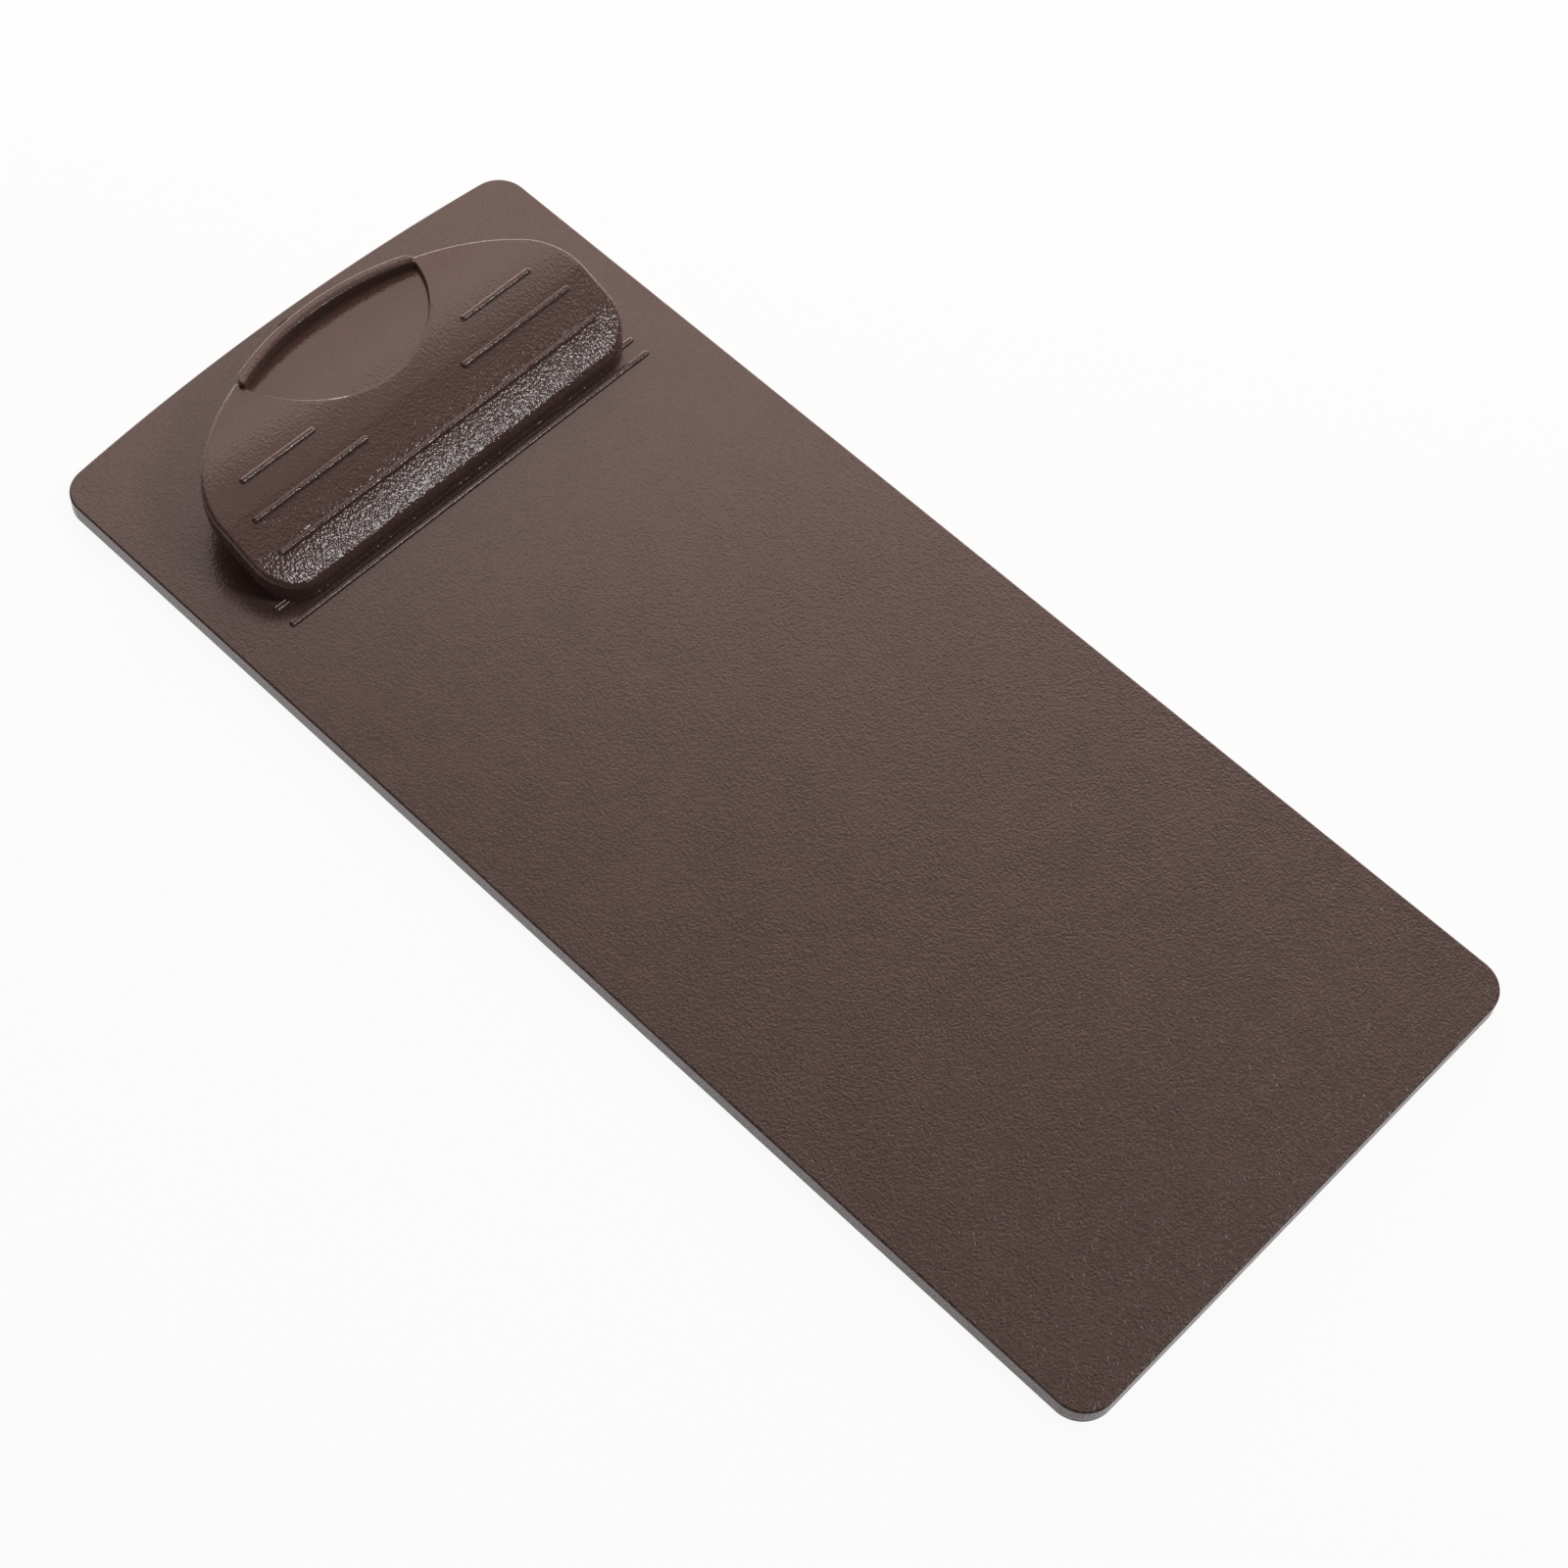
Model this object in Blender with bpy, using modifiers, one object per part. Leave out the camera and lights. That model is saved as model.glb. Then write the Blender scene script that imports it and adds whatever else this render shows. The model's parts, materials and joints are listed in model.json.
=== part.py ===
"""A small moulded clipboard with a sprung clip.

Metres, +Z up. The origin lies under the middle of the board, on the surface it rests on. +Y runs
along the board towards the clip, and the hinge axis runs along X.
"""

import math

import bmesh
import bpy
from mathutils import Matrix, Vector

# Board
BOARD_WIDTH = 0.100
BOARD_LENGTH = 0.2285
BOARD_THICKNESS = 0.0038
BOARD_CORNER_RADIUS = 0.0055
BOARD_EDGE_ROUND = 0.0006
TOP_EDGE_BOW = 0.0029
HANG_HOLE_DIAMETER = 0.0090
HANG_HOLE_EDGE_WALL = 0.0020

# Raised ribs, on the board and on the lever alike
RIB_WIDTH = 0.0013
RIB_HEIGHT = 0.0005
BOARD_RIB_PAST_LEVER = 0.0004
FRONT_RIB_AHEAD_OF_JAW = 0.0015
REAR_RIB_BEHIND_JAW = 0.0023

# Lever: its plan, its arch and its walls
LEVER_WIDTH = 0.080
LEVER_LENGTH = 0.0388
LEVER_REAR_INSET = 0.0089
LEVER_SIDE_END_BEHIND_JAW = 0.0137
LEVER_SHOULDER_RADIUS = 0.015
LEVER_FRONT_CORNER_RADIUS = 0.0075
LEVER_HEIGHT = 0.0115
CROWN_FROM_REAR = 0.0136
JAW_FACE_HEIGHT = 0.0033
LEVER_RIM_DEPTH = 0.0040
LEVER_SKIN = 0.0022
LEVER_WALL = 0.0018
JAW_WALL = 0.0012

# Grip ribs on the lever: distance behind the jaw, inner end from the middle, outer end from the side
GRIP_ROWS = (
    (0.0063, 0.0000, 0.0047),
    (0.0125, 0.0104, 0.0050),
    (0.0188, 0.0162, 0.0079),
)

# Thumb lip and thumb dish
LIP_LENGTH = 0.0386
LIP_WIDTH = 0.0026
LIP_RISE = 0.0018
LIP_SETBACK = 0.0002
DISH_PAST_LIP = 0.0002
DISH_CENTRE_FROM_REAR = 0.0011
DISH_DEPTH = 0.0004

# Hinge
PIVOT_BEHIND_JAW = 0.0174
PIN_DIAMETER = 0.0022
PIN_HEAD_OVERHANG = 0.0009
PIN_HEAD_THICKNESS = 0.0010
LUG_WALL = 0.0014
LUG_THICKNESS = 0.0040
BRACKET_WIDTH = 0.0420
BRACKET_DEPTH = 0.0140
BRACKET_SHEET = 0.0010
EAR_WALL = 0.0013

# Rivets
RIVET_SPACING = 0.0120
RIVET_DIAMETER = 0.0030
RIVET_HEAD_OVERHANG = 0.0011
RIVET_HEAD_THICKNESS = 0.0009
RIVET_FOOT_OVERHANG = 0.0017
RIVET_FOOT_THICKNESS = 0.0010
RIVET_FOOT_RECESS = 0.0002

# Springs
SPRING_WIRE = 0.0008
SPRING_CURLS = 4
SPRING_CURL_GAP = 0.0006
SPRING_LEG = 0.0095
SPRING_POINTS_PER_CURL = 9

# Clearances
SEAT_GAP = 0.0003
RUNNING_GAP = 0.0001
SIDE_GAP = 0.0004
COIL_GAP = 0.0005
RIB_RELIEF = 0.0002
SPRING_TO_EAR = 0.0008
LEAST_SPRING_GAP = 0.0004

# Roundness of the meshes
ARC_STEPS = 8
LONG_ARC_STEPS = 20
ROUND_STEPS = 24

# Places that follow from the sizes above
BOARD_TOP = BOARD_THICKNESS
TOP_EDGE_Y = BOARD_LENGTH / 2
LEVER_REAR_Y = TOP_EDGE_Y - LEVER_REAR_INSET
JAW_Y = LEVER_REAR_Y - LEVER_LENGTH
CROWN_Y = LEVER_REAR_Y - CROWN_FROM_REAR
JAW_Z = BOARD_TOP + SEAT_GAP
BRACKET_FLOOR = BOARD_TOP + SEAT_GAP
BRACKET_TOP = BRACKET_FLOOR + BRACKET_SHEET
FRONT_RIB_Y = JAW_Y - FRONT_RIB_AHEAD_OF_JAW
REAR_RIB_Y = JAW_Y + REAR_RIB_BEHIND_JAW
BOARD_RIB_END = LEVER_WIDTH / 2 + BOARD_RIB_PAST_LEVER
LUG_INNER_X = BRACKET_WIDTH / 2 + SIDE_GAP
LUG_OUTER_X = LUG_INNER_X + LUG_THICKNESS
RIVET_BORE_RADIUS = RIVET_DIAMETER / 2 + SEAT_GAP
RIVET_FOOT_RADIUS = RIVET_DIAMETER / 2 + RIVET_FOOT_OVERHANG
COUNTERBORE_RADIUS = RIVET_FOOT_RADIUS + SEAT_GAP
COUNTERBORE_DEPTH = RIVET_FOOT_RECESS + RIVET_FOOT_THICKNESS + SEAT_GAP
PIN_BORE_RADIUS = PIN_DIAMETER / 2 + RUNNING_GAP
CUT_MARGIN = 0.005


def rise_radius(half_chord, rise):
    """Radius of the arc that rises this far over half its chord."""
    return (half_chord**2 + rise**2) / (2 * rise)


def lever_rear_radius():
    """Radius of the rear rim that meets the shoulders' arcs where the straight sides end."""
    shoulder_x = LEVER_WIDTH / 2 - LEVER_SHOULDER_RADIUS
    side_end = LEVER_LENGTH - LEVER_SIDE_END_BEHIND_JAW
    spread = shoulder_x**2 + side_end**2 - LEVER_SHOULDER_RADIUS**2
    return spread / (2 * (side_end - LEVER_SHOULDER_RADIUS))


LEVER_REAR_RADIUS = lever_rear_radius()
CROWN_RADIUS = rise_radius(CROWN_Y - JAW_Y, LEVER_HEIGHT - JAW_FACE_HEIGHT)
CROWN_Z = BOARD_TOP + LEVER_HEIGHT - CROWN_RADIUS


def crown_height(y):
    """Height of the lever's arched top at y."""
    return CROWN_Z + math.sqrt(CROWN_RADIUS**2 - (y - CROWN_Y) ** 2)


# The pivot lies midway between the bracket's plate and the lever's skin.
PIVOT_Y = JAW_Y + PIVOT_BEHIND_JAW
PIVOT = Vector((0, PIVOT_Y, (BRACKET_TOP + crown_height(PIVOT_Y) - LEVER_SKIN) / 2))

BROWN_PLASTIC = ("brown_plastic", (0.105, 0.077, 0.066, 1), 0.38, 0.0)
PLATED_STEEL = ("plated_steel", (0.55, 0.55, 0.56, 1), 0.32, 1.0)
SPRING_STEEL = ("spring_steel", (0.42, 0.42, 0.44, 1), 0.28, 1.0)


def clear_scene():
    for obj in list(bpy.data.objects):
        bpy.data.objects.remove(obj, do_unlink=True)


def new_collection(name):
    collection = bpy.data.collections.new(name)
    bpy.context.scene.collection.children.link(collection)
    return collection


def make_material(name, colour, roughness, metallic):
    material = bpy.data.materials.new(name)
    material.use_nodes = True
    shader = material.node_tree.nodes["Principled BSDF"]
    shader.inputs["Base Color"].default_value = colour
    shader.inputs["Roughness"].default_value = roughness
    shader.inputs["Metallic"].default_value = metallic
    return material


def arc(centre, radius, start, end, steps):
    """Points on an arc, with angles in degrees counter-clockwise from the first axis."""
    points = []
    for step in range(steps + 1):
        angle = math.radians(start + (end - start) * step / steps)
        points.append((centre[0] + radius * math.cos(angle), centre[1] + radius * math.sin(angle)))
    return points


def flat_solid(name, outline, thickness, edge_round=0.0):
    """A closed outline in XY, given its thickness about Z = 0 and made one closed mesh."""
    curve = bpy.data.curves.new(name, "CURVE")
    curve.dimensions = "2D"
    curve.fill_mode = "BOTH"
    curve.extrude = thickness / 2 - edge_round
    curve.bevel_depth = edge_round
    curve.bevel_resolution = 1
    curve.offset = -edge_round
    spline = curve.splines.new("POLY")
    spline.points.add(len(outline) - 1)
    for point, (x, y) in zip(spline.points, outline):
        point.co = (x, y, 0, 1)
    spline.use_cyclic_u = True
    guide = bpy.data.objects.new(name, curve)
    bpy.context.scene.collection.objects.link(guide)
    graph = bpy.context.evaluated_depsgraph_get()
    mesh = bpy.data.meshes.new_from_object(guide.evaluated_get(graph))
    bpy.data.objects.remove(guide)
    shape = bmesh.new()
    shape.from_mesh(mesh)
    bmesh.ops.remove_doubles(shape, verts=shape.verts, dist=1e-6)
    bmesh.ops.recalc_face_normals(shape, faces=shape.faces)
    shape.to_mesh(mesh)
    shape.free()
    solid = bpy.data.objects.new(name, mesh)
    bpy.context.scene.collection.objects.link(solid)
    return solid


def plan_solid(name, outline, low, high, edge_round=0.0):
    """An outline in plan, filled from one height to another."""
    solid = flat_solid(name, outline, high - low, edge_round)
    solid.data.transform(Matrix.Translation((0, 0, (low + high) / 2)))
    return solid


def side_solid(name, outline, left, right):
    """An outline in side view, as (y, z) points, filled from one x to another."""
    solid = flat_solid(name, outline, right - left)
    along_x = Matrix(((0, 0, 1, 0), (1, 0, 0, 0), (0, 1, 0, 0), (0, 0, 0, 1)))
    solid.data.transform(Matrix.Translation(((left + right) / 2, 0, 0)) @ along_x)
    return solid


def turned_solid(name, profile):
    """A profile of (radius, height) points, top to bottom, turned about Z."""
    mesh = bpy.data.meshes.new(name)
    points = [(radius, 0, height) for radius, height in profile]
    mesh.from_pydata(points, [(i, i + 1) for i in range(len(points) - 1)], [])
    solid = bpy.data.objects.new(name, mesh)
    bpy.context.scene.collection.objects.link(solid)
    screw = solid.modifiers.new("turn", "SCREW")
    screw.steps = ROUND_STEPS
    screw.render_steps = ROUND_STEPS
    screw.use_merge_vertices = True
    screw.merge_threshold = 1e-6
    return solid


def cylinder(name, radius, length, centre, along_x=False):
    turn = (0, math.pi / 2, 0) if along_x else (0, 0, 0)
    bpy.ops.mesh.primitive_cylinder_add(
        vertices=ROUND_STEPS * 2, radius=radius, depth=length, location=centre, rotation=turn
    )
    solid = bpy.context.object
    solid.name = name
    return solid


def rib(name, left, right, y, surface_z, relief=0.0):
    """A raised rib along X with round ends: a stretched ball, sunk until it stands RIB_HEIGHT proud.

    A relief makes it larger all round, for the hollow that clears a rib.
    """
    sunk_radius = rise_radius(RIB_WIDTH / 2, RIB_HEIGHT)
    radius = sunk_radius + relief
    mesh = bpy.data.meshes.new(name)
    shape = bmesh.new()
    bmesh.ops.create_uvsphere(shape, u_segments=12, v_segments=8, radius=radius)
    bmesh.ops.rotate(shape, verts=shape.verts, matrix=Matrix.Rotation(math.pi / 2, 3, "Y"))
    stretch = (right - left) / 2 - sunk_radius
    for vert in shape.verts:
        if abs(vert.co.x) > radius / 100:
            vert.co.x += math.copysign(stretch, vert.co.x)
    shape.to_mesh(mesh)
    shape.free()
    solid = bpy.data.objects.new(name, mesh)
    bpy.context.scene.collection.objects.link(solid)
    solid.location = ((left + right) / 2, y, surface_z + RIB_HEIGHT - sunk_radius)
    return solid


def boolean(target, other, operation):
    modifier = target.modifiers.new(f"{operation.lower()} {other.name}", "BOOLEAN")
    modifier.operation = operation
    modifier.solver = "EXACT"
    modifier.object = other
    other.hide_render = True
    other.display_type = "WIRE"


def file_objects(parts, cutters):
    """Every object that is a tool for another goes with the cutters, and the rest are the parts."""
    for obj in list(bpy.context.scene.collection.objects):
        bpy.context.scene.collection.objects.unlink(obj)
        (cutters if obj.hide_render else parts).objects.link(obj)


def finish(solid, material):
    solid.data.materials.clear()
    solid.data.materials.append(material)
    solid.data.shade_smooth()
    solid.data.set_sharp_from_angle(angle=math.radians(30))


def board_outline():
    half = BOARD_WIDTH / 2
    corner = BOARD_CORNER_RADIUS
    bow_radius = rise_radius(half, TOP_EDGE_BOW)
    bow_centre = TOP_EDGE_Y - bow_radius
    # The corner arc touches the side and, from inside, the bowed top edge.
    corner_x = half - corner
    corner_y = bow_centre + math.sqrt((bow_radius - corner) ** 2 - corner_x**2)
    meet = math.degrees(math.atan2(corner_y - bow_centre, corner_x))
    low = -BOARD_LENGTH / 2 + corner
    points = arc((corner_x, low), corner, -90, 0, ARC_STEPS)
    points += arc((corner_x, corner_y), corner, 0, meet, ARC_STEPS)
    points += arc((0, bow_centre), bow_radius, meet, 180 - meet, LONG_ARC_STEPS)[1:-1]
    points += arc((-corner_x, corner_y), corner, 180 - meet, 180, ARC_STEPS)
    points += arc((-corner_x, low), corner, 180, 270, ARC_STEPS)
    return points


def lever_outline(wall, jaw_wall):
    """The lever's plan, drawn in by its walls: a straight jaw, rounded shoulders and a bowed rear."""
    half = LEVER_WIDTH / 2 - wall
    front = JAW_Y + jaw_wall
    corner = LEVER_FRONT_CORNER_RADIUS - wall
    shoulder = LEVER_SHOULDER_RADIUS - wall
    rear_radius = LEVER_REAR_RADIUS - wall
    rear_centre = LEVER_REAR_Y - LEVER_REAR_RADIUS
    shoulder_x = half - shoulder
    shoulder_y = rear_centre + math.sqrt((rear_radius - shoulder) ** 2 - shoulder_x**2)
    meet = math.degrees(math.atan2(shoulder_y - rear_centre, shoulder_x))
    points = arc((half - corner, front + corner), corner, -90, 0, ARC_STEPS)
    points += arc((shoulder_x, shoulder_y), shoulder, 0, meet, ARC_STEPS)
    points += arc((0, rear_centre), rear_radius, meet, 180 - meet, LONG_ARC_STEPS)[1:-1]
    points += arc((-shoulder_x, shoulder_y), shoulder, 180 - meet, 180, ARC_STEPS)
    points += arc((-half + corner, front + corner), corner, 180, 270, ARC_STEPS)
    return points


def arch_points(drop, first, last):
    """(y, z) points on the lever's arch, lowered by a drop, from one y to another."""
    steps = LONG_ARC_STEPS
    ys = [first + (last - first) * step / steps for step in range(steps + 1)]
    return [(y, crown_height(y) - drop) for y in ys]


def rounded_tab(centre, radius, end_z, steps=12):
    """(y, z) outline of a straight tab with one round end about the centre, reaching to end_z."""
    y, z = centre
    round_end = arc((y, z), radius, 0, 180, steps) if end_z < z else arc((y, z), radius, 180, 360, steps)
    return round_end + [(round_end[-1][0], end_z), (round_end[0][0], end_z)]


def make_board(material):
    board = plan_solid("board", board_outline(), 0, BOARD_TOP, BOARD_EDGE_ROUND)
    for name, y in (("front_rib", FRONT_RIB_Y), ("rear_rib", REAR_RIB_Y)):
        boolean(board, rib(name, -BOARD_RIB_END, BOARD_RIB_END, y, BOARD_TOP), "UNION")
    through = BOARD_THICKNESS + 2 * CUT_MARGIN
    hole_y = TOP_EDGE_Y - HANG_HOLE_EDGE_WALL - HANG_HOLE_DIAMETER / 2
    boolean(
        board,
        cylinder("hang_hole", HANG_HOLE_DIAMETER / 2, through, (0, hole_y, BOARD_TOP / 2)),
        "DIFFERENCE",
    )
    for x in (-RIVET_SPACING / 2, RIVET_SPACING / 2):
        bore = cylinder("rivet_bore", RIVET_BORE_RADIUS, through, (x, PIVOT.y, BOARD_TOP / 2))
        boolean(board, bore, "DIFFERENCE")
        depth = COUNTERBORE_DEPTH + CUT_MARGIN
        centre = (x, PIVOT.y, COUNTERBORE_DEPTH - depth / 2)
        boolean(board, cylinder("counterbore", COUNTERBORE_RADIUS, depth, centre), "DIFFERENCE")
    finish(board, material)


def make_lever_shell():
    """The arched shell: the plan cut by the arch, hollowed from below."""
    front = JAW_Y - CUT_MARGIN
    rear = LEVER_REAR_Y + CUT_MARGIN
    half = LEVER_WIDTH / 2 + CUT_MARGIN
    ceiling = BOARD_TOP + LEVER_HEIGHT + CUT_MARGIN
    lever = plan_solid("clip_lever", lever_outline(0, 0), 0, ceiling)
    lift = JAW_Z + LEVER_RIM_DEPTH - CROWN_Z
    jaw_back = CROWN_Y - math.sqrt(CROWN_RADIUS**2 - lift**2)
    underside = arch_points(LEVER_RIM_DEPTH, jaw_back, rear)
    arch = side_solid(
        "arch",
        [(front, JAW_Z)] + underside + arch_points(0, front, rear)[::-1],
        -half,
        half,
    )
    boolean(lever, arch, "INTERSECT")
    cavity = plan_solid("cavity", lever_outline(LEVER_WALL, JAW_WALL), -CUT_MARGIN, ceiling)
    below_skin = side_solid(
        "below_skin",
        [(front, -2 * CUT_MARGIN), (rear, -2 * CUT_MARGIN)] + arch_points(LEVER_SKIN, front, rear)[::-1],
        -half,
        half,
    )
    boolean(cavity, below_skin, "INTERSECT")
    return lever, cavity


def make_thumb_dish():
    """A shallow round recess whose floor follows the arch."""
    height = LEVER_HEIGHT + CUT_MARGIN
    centre = (0, LEVER_REAR_Y - DISH_CENTRE_FROM_REAR, BOARD_TOP + LEVER_HEIGHT)
    dish = cylinder("thumb_dish", LIP_LENGTH / 2 + DISH_PAST_LIP, height, centre)
    floor_radius = CROWN_RADIUS - DISH_DEPTH
    floor = cylinder("dish_floor", floor_radius, LEVER_WIDTH, (0, CROWN_Y, CROWN_Z), along_x=True)
    boolean(dish, floor, "DIFFERENCE")
    return dish


def make_thumb_lip():
    """A raised curb along the rear rim."""
    outer = LEVER_REAR_RADIUS - LIP_SETBACK
    inner = LEVER_REAR_RADIUS - LIP_WIDTH
    centre = (0, LEVER_REAR_Y - LEVER_REAR_RADIUS)
    spread = math.degrees(math.asin(LIP_LENGTH / 2 / LEVER_REAR_RADIUS))
    outline = arc(centre, outer, 90 - spread, 90 + spread, ARC_STEPS)
    outline += arc(centre, inner, 90 + spread, 90 - spread, ARC_STEPS)
    rim_z = crown_height(LEVER_REAR_Y)
    return plan_solid("thumb_lip", outline, rim_z - LEVER_SKIN, rim_z + LIP_RISE + DISH_DEPTH)


def make_lever(material):
    lever, cavity = make_lever_shell()
    boolean(lever, make_thumb_dish(), "DIFFERENCE")
    boolean(lever, make_thumb_lip(), "UNION")
    for behind_jaw, inner, from_side in GRIP_ROWS:
        y = JAW_Y + behind_jaw
        outer = LEVER_WIDTH / 2 - from_side
        spans = [(inner, outer), (-outer, -inner)] if inner else [(-outer, outer)]
        for left, right in spans:
            boolean(lever, rib("grip_rib", left, right, y, crown_height(y)), "UNION")
    boolean(lever, cavity, "DIFFERENCE")
    relief = rib("rib_relief", -BOARD_RIB_END, BOARD_RIB_END, REAR_RIB_Y, BOARD_TOP, RIB_RELIEF)
    boolean(lever, relief, "DIFFERENCE")
    lug_top = crown_height(PIVOT.y) - LEVER_SKIN / 2
    lug_outline = rounded_tab((PIVOT.y, PIVOT.z), PIN_BORE_RADIUS + LUG_WALL, lug_top)
    for left, right in ((LUG_INNER_X, LUG_OUTER_X), (-LUG_OUTER_X, -LUG_INNER_X)):
        boolean(lever, side_solid("lug", lug_outline, left, right), "UNION")
    bore_length = 2 * (LUG_OUTER_X + SIDE_GAP)
    boolean(lever, cylinder("lug_bore", PIN_BORE_RADIUS, bore_length, PIVOT, along_x=True), "DIFFERENCE")
    finish(lever, material)
    return lever


def make_bracket(material):
    half = BRACKET_WIDTH / 2
    depth = BRACKET_DEPTH / 2
    plate = [
        (-half, PIVOT.y - depth),
        (half, PIVOT.y - depth),
        (half, PIVOT.y + depth),
        (-half, PIVOT.y + depth),
    ]
    bracket = plan_solid("hinge_bracket", plate, BRACKET_FLOOR, BRACKET_TOP)
    root = BRACKET_FLOOR + BRACKET_SHEET / 2
    ear_outline = rounded_tab((PIVOT.y, PIVOT.z), PIN_BORE_RADIUS + EAR_WALL, root)
    for left, right in ((half - BRACKET_SHEET, half), (-half, BRACKET_SHEET - half)):
        boolean(bracket, side_solid("ear", ear_outline, left, right), "UNION")
    bore_length = BRACKET_WIDTH + 2 * CUT_MARGIN
    boolean(bracket, cylinder("ear_bore", PIN_BORE_RADIUS, bore_length, PIVOT, along_x=True), "DIFFERENCE")
    for x in (-RIVET_SPACING / 2, RIVET_SPACING / 2):
        centre = (x, PIVOT.y, BRACKET_TOP)
        bore = cylinder("plate_bore", RIVET_BORE_RADIUS, 2 * CUT_MARGIN, centre)
        boolean(bracket, bore, "DIFFERENCE")
    finish(bracket, material)


def make_rivet(name, x, material):
    """A set rivet: a domed head on the bracket, a shank through the board and a sunk foot."""
    shank = RIVET_DIAMETER / 2
    head = shank + RIVET_HEAD_OVERHANG
    foot = RIVET_FOOT_RADIUS
    head_low = BRACKET_TOP + SEAT_GAP
    dome_radius = rise_radius(head, RIVET_HEAD_THICKNESS / 2)
    edge_angle = math.degrees(math.asin(head / dome_radius))
    dome_centre = (0, head_low + RIVET_HEAD_THICKNESS - dome_radius)
    dome = arc(dome_centre, dome_radius, 90, 90 - edge_angle, 4)
    foot_high = RIVET_FOOT_RECESS + RIVET_FOOT_THICKNESS
    profile = [(0, dome[0][1])] + dome[1:] + [
        (head, head_low),
        (shank, head_low),
        (shank, foot_high),
        (foot, foot_high),
        (foot, RIVET_FOOT_RECESS),
        (0, RIVET_FOOT_RECESS),
    ]
    rivet = turned_solid(name, profile)
    rivet.location = (x, PIVOT.y, 0)
    finish(rivet, material)


def make_pin(material):
    """A plain pin with a formed head at each end, outside the lever's lugs."""
    shank = PIN_DIAMETER / 2
    head = shank + PIN_HEAD_OVERHANG
    inner = LUG_OUTER_X + SEAT_GAP
    outer = inner + PIN_HEAD_THICKNESS
    chamfer = PIN_HEAD_THICKNESS / 3
    half_profile = [
        (0, outer),
        (head - chamfer, outer),
        (head, outer - chamfer),
        (head, inner),
        (shank, inner),
    ]
    profile = half_profile + [(radius, -height) for radius, height in reversed(half_profile)]
    pin = turned_solid("hinge_pin", profile)
    pin.rotation_euler = (0, math.pi / 2, 0)
    pin.location = PIVOT
    finish(pin, material)


def spring_path(side):
    """Centre line of a torsion spring: a leg along the bracket, the curls, a leg up under the lever."""
    radius = PIN_DIAMETER / 2 + COIL_GAP + SPRING_WIRE / 2
    outer_x = BRACKET_WIDTH / 2 - BRACKET_SHEET - SPRING_TO_EAR
    curls = SPRING_CURLS + 0.5
    steps = round(curls * SPRING_POINTS_PER_CURL)
    coil_length = (SPRING_WIRE + SPRING_CURL_GAP) * curls
    first_x = outer_x - coil_length
    floor_z = BRACKET_TOP + SEAT_GAP + SPRING_WIRE / 2
    lower_end = Vector((first_x, PIVOT.y + BRACKET_DEPTH / 2 - SPRING_WIRE, floor_z))
    upper_y = PIVOT.y + SPRING_LEG
    ceiling_z = crown_height(upper_y) - LEVER_SKIN - SEAT_GAP - SPRING_WIRE / 2
    upper_end = Vector((outer_x, upper_y, ceiling_z))
    points = [lower_end]
    for step in range(steps + 1):
        turn = 2 * math.pi * curls * step / steps
        x = first_x + coil_length * step / steps
        points.append(Vector((x, PIVOT.y - radius * math.sin(turn), PIVOT.z - radius * math.cos(turn))))
    points.append(upper_end)
    return [Vector((side * point.x, point.y, point.z)) for point in points]


def least_gap(path, diameter, apart):
    """The least gap between stretches of one tube that lie at least so many points apart."""
    gaps = []
    for i in range(len(path) - 1):
        for j in range(i + apart, len(path) - 1):
            for t in (0.0, 0.25, 0.5, 0.75):
                here = path[i].lerp(path[i + 1], t)
                gaps += [(here - path[j].lerp(path[j + 1], s)).length for s in (0.0, 0.25, 0.5, 0.75)]
    return min(gaps) - diameter


def make_spring(name, side, material):
    path = spring_path(side)
    gap = least_gap(path, SPRING_WIRE, SPRING_POINTS_PER_CURL // 2)
    print(f"{name}: least gap to itself {gap * 1000:.2f} mm, over {LEAST_SPRING_GAP * 1000:.1f} mm wanted")
    curve = bpy.data.curves.new(name, "CURVE")
    curve.dimensions = "3D"
    curve.bevel_depth = SPRING_WIRE / 2
    curve.bevel_resolution = 1
    curve.use_fill_caps = True
    spline = curve.splines.new("POLY")
    spline.points.add(len(path) - 1)
    for point, place in zip(spline.points, path):
        point.co = (*(place - PIVOT), 1)
    curve.materials.append(material)
    spring = bpy.data.objects.new(name, curve)
    spring.location = PIVOT
    bpy.context.scene.collection.objects.link(spring)


def hang_on_axis(lever):
    """An empty on the hinge axis carries the lever."""
    axis = bpy.data.objects.new("lever_axis", None)
    axis.empty_display_size = LEVER_WIDTH / 2
    axis.location = PIVOT
    bpy.context.scene.collection.objects.link(axis)
    lever.parent = axis
    lever.matrix_parent_inverse = Matrix.Translation(-PIVOT)


def main():
    clear_scene()
    plastic = make_material(*BROWN_PLASTIC)
    plate = make_material(*PLATED_STEEL)
    wire = make_material(*SPRING_STEEL)
    make_board(plastic)
    make_bracket(plate)
    make_rivet("rivet_left", -RIVET_SPACING / 2, plate)
    make_rivet("rivet_right", RIVET_SPACING / 2, plate)
    make_pin(plate)
    make_spring("spring_left", -1, wire)
    make_spring("spring_right", 1, wire)
    hang_on_axis(make_lever(plastic))
    file_objects(new_collection("clipboard"), new_collection("cutters"))


main()
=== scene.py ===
"""The looks of a small moulded clipboard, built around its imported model. Metres, +Z up."""

import json
import math

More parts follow.
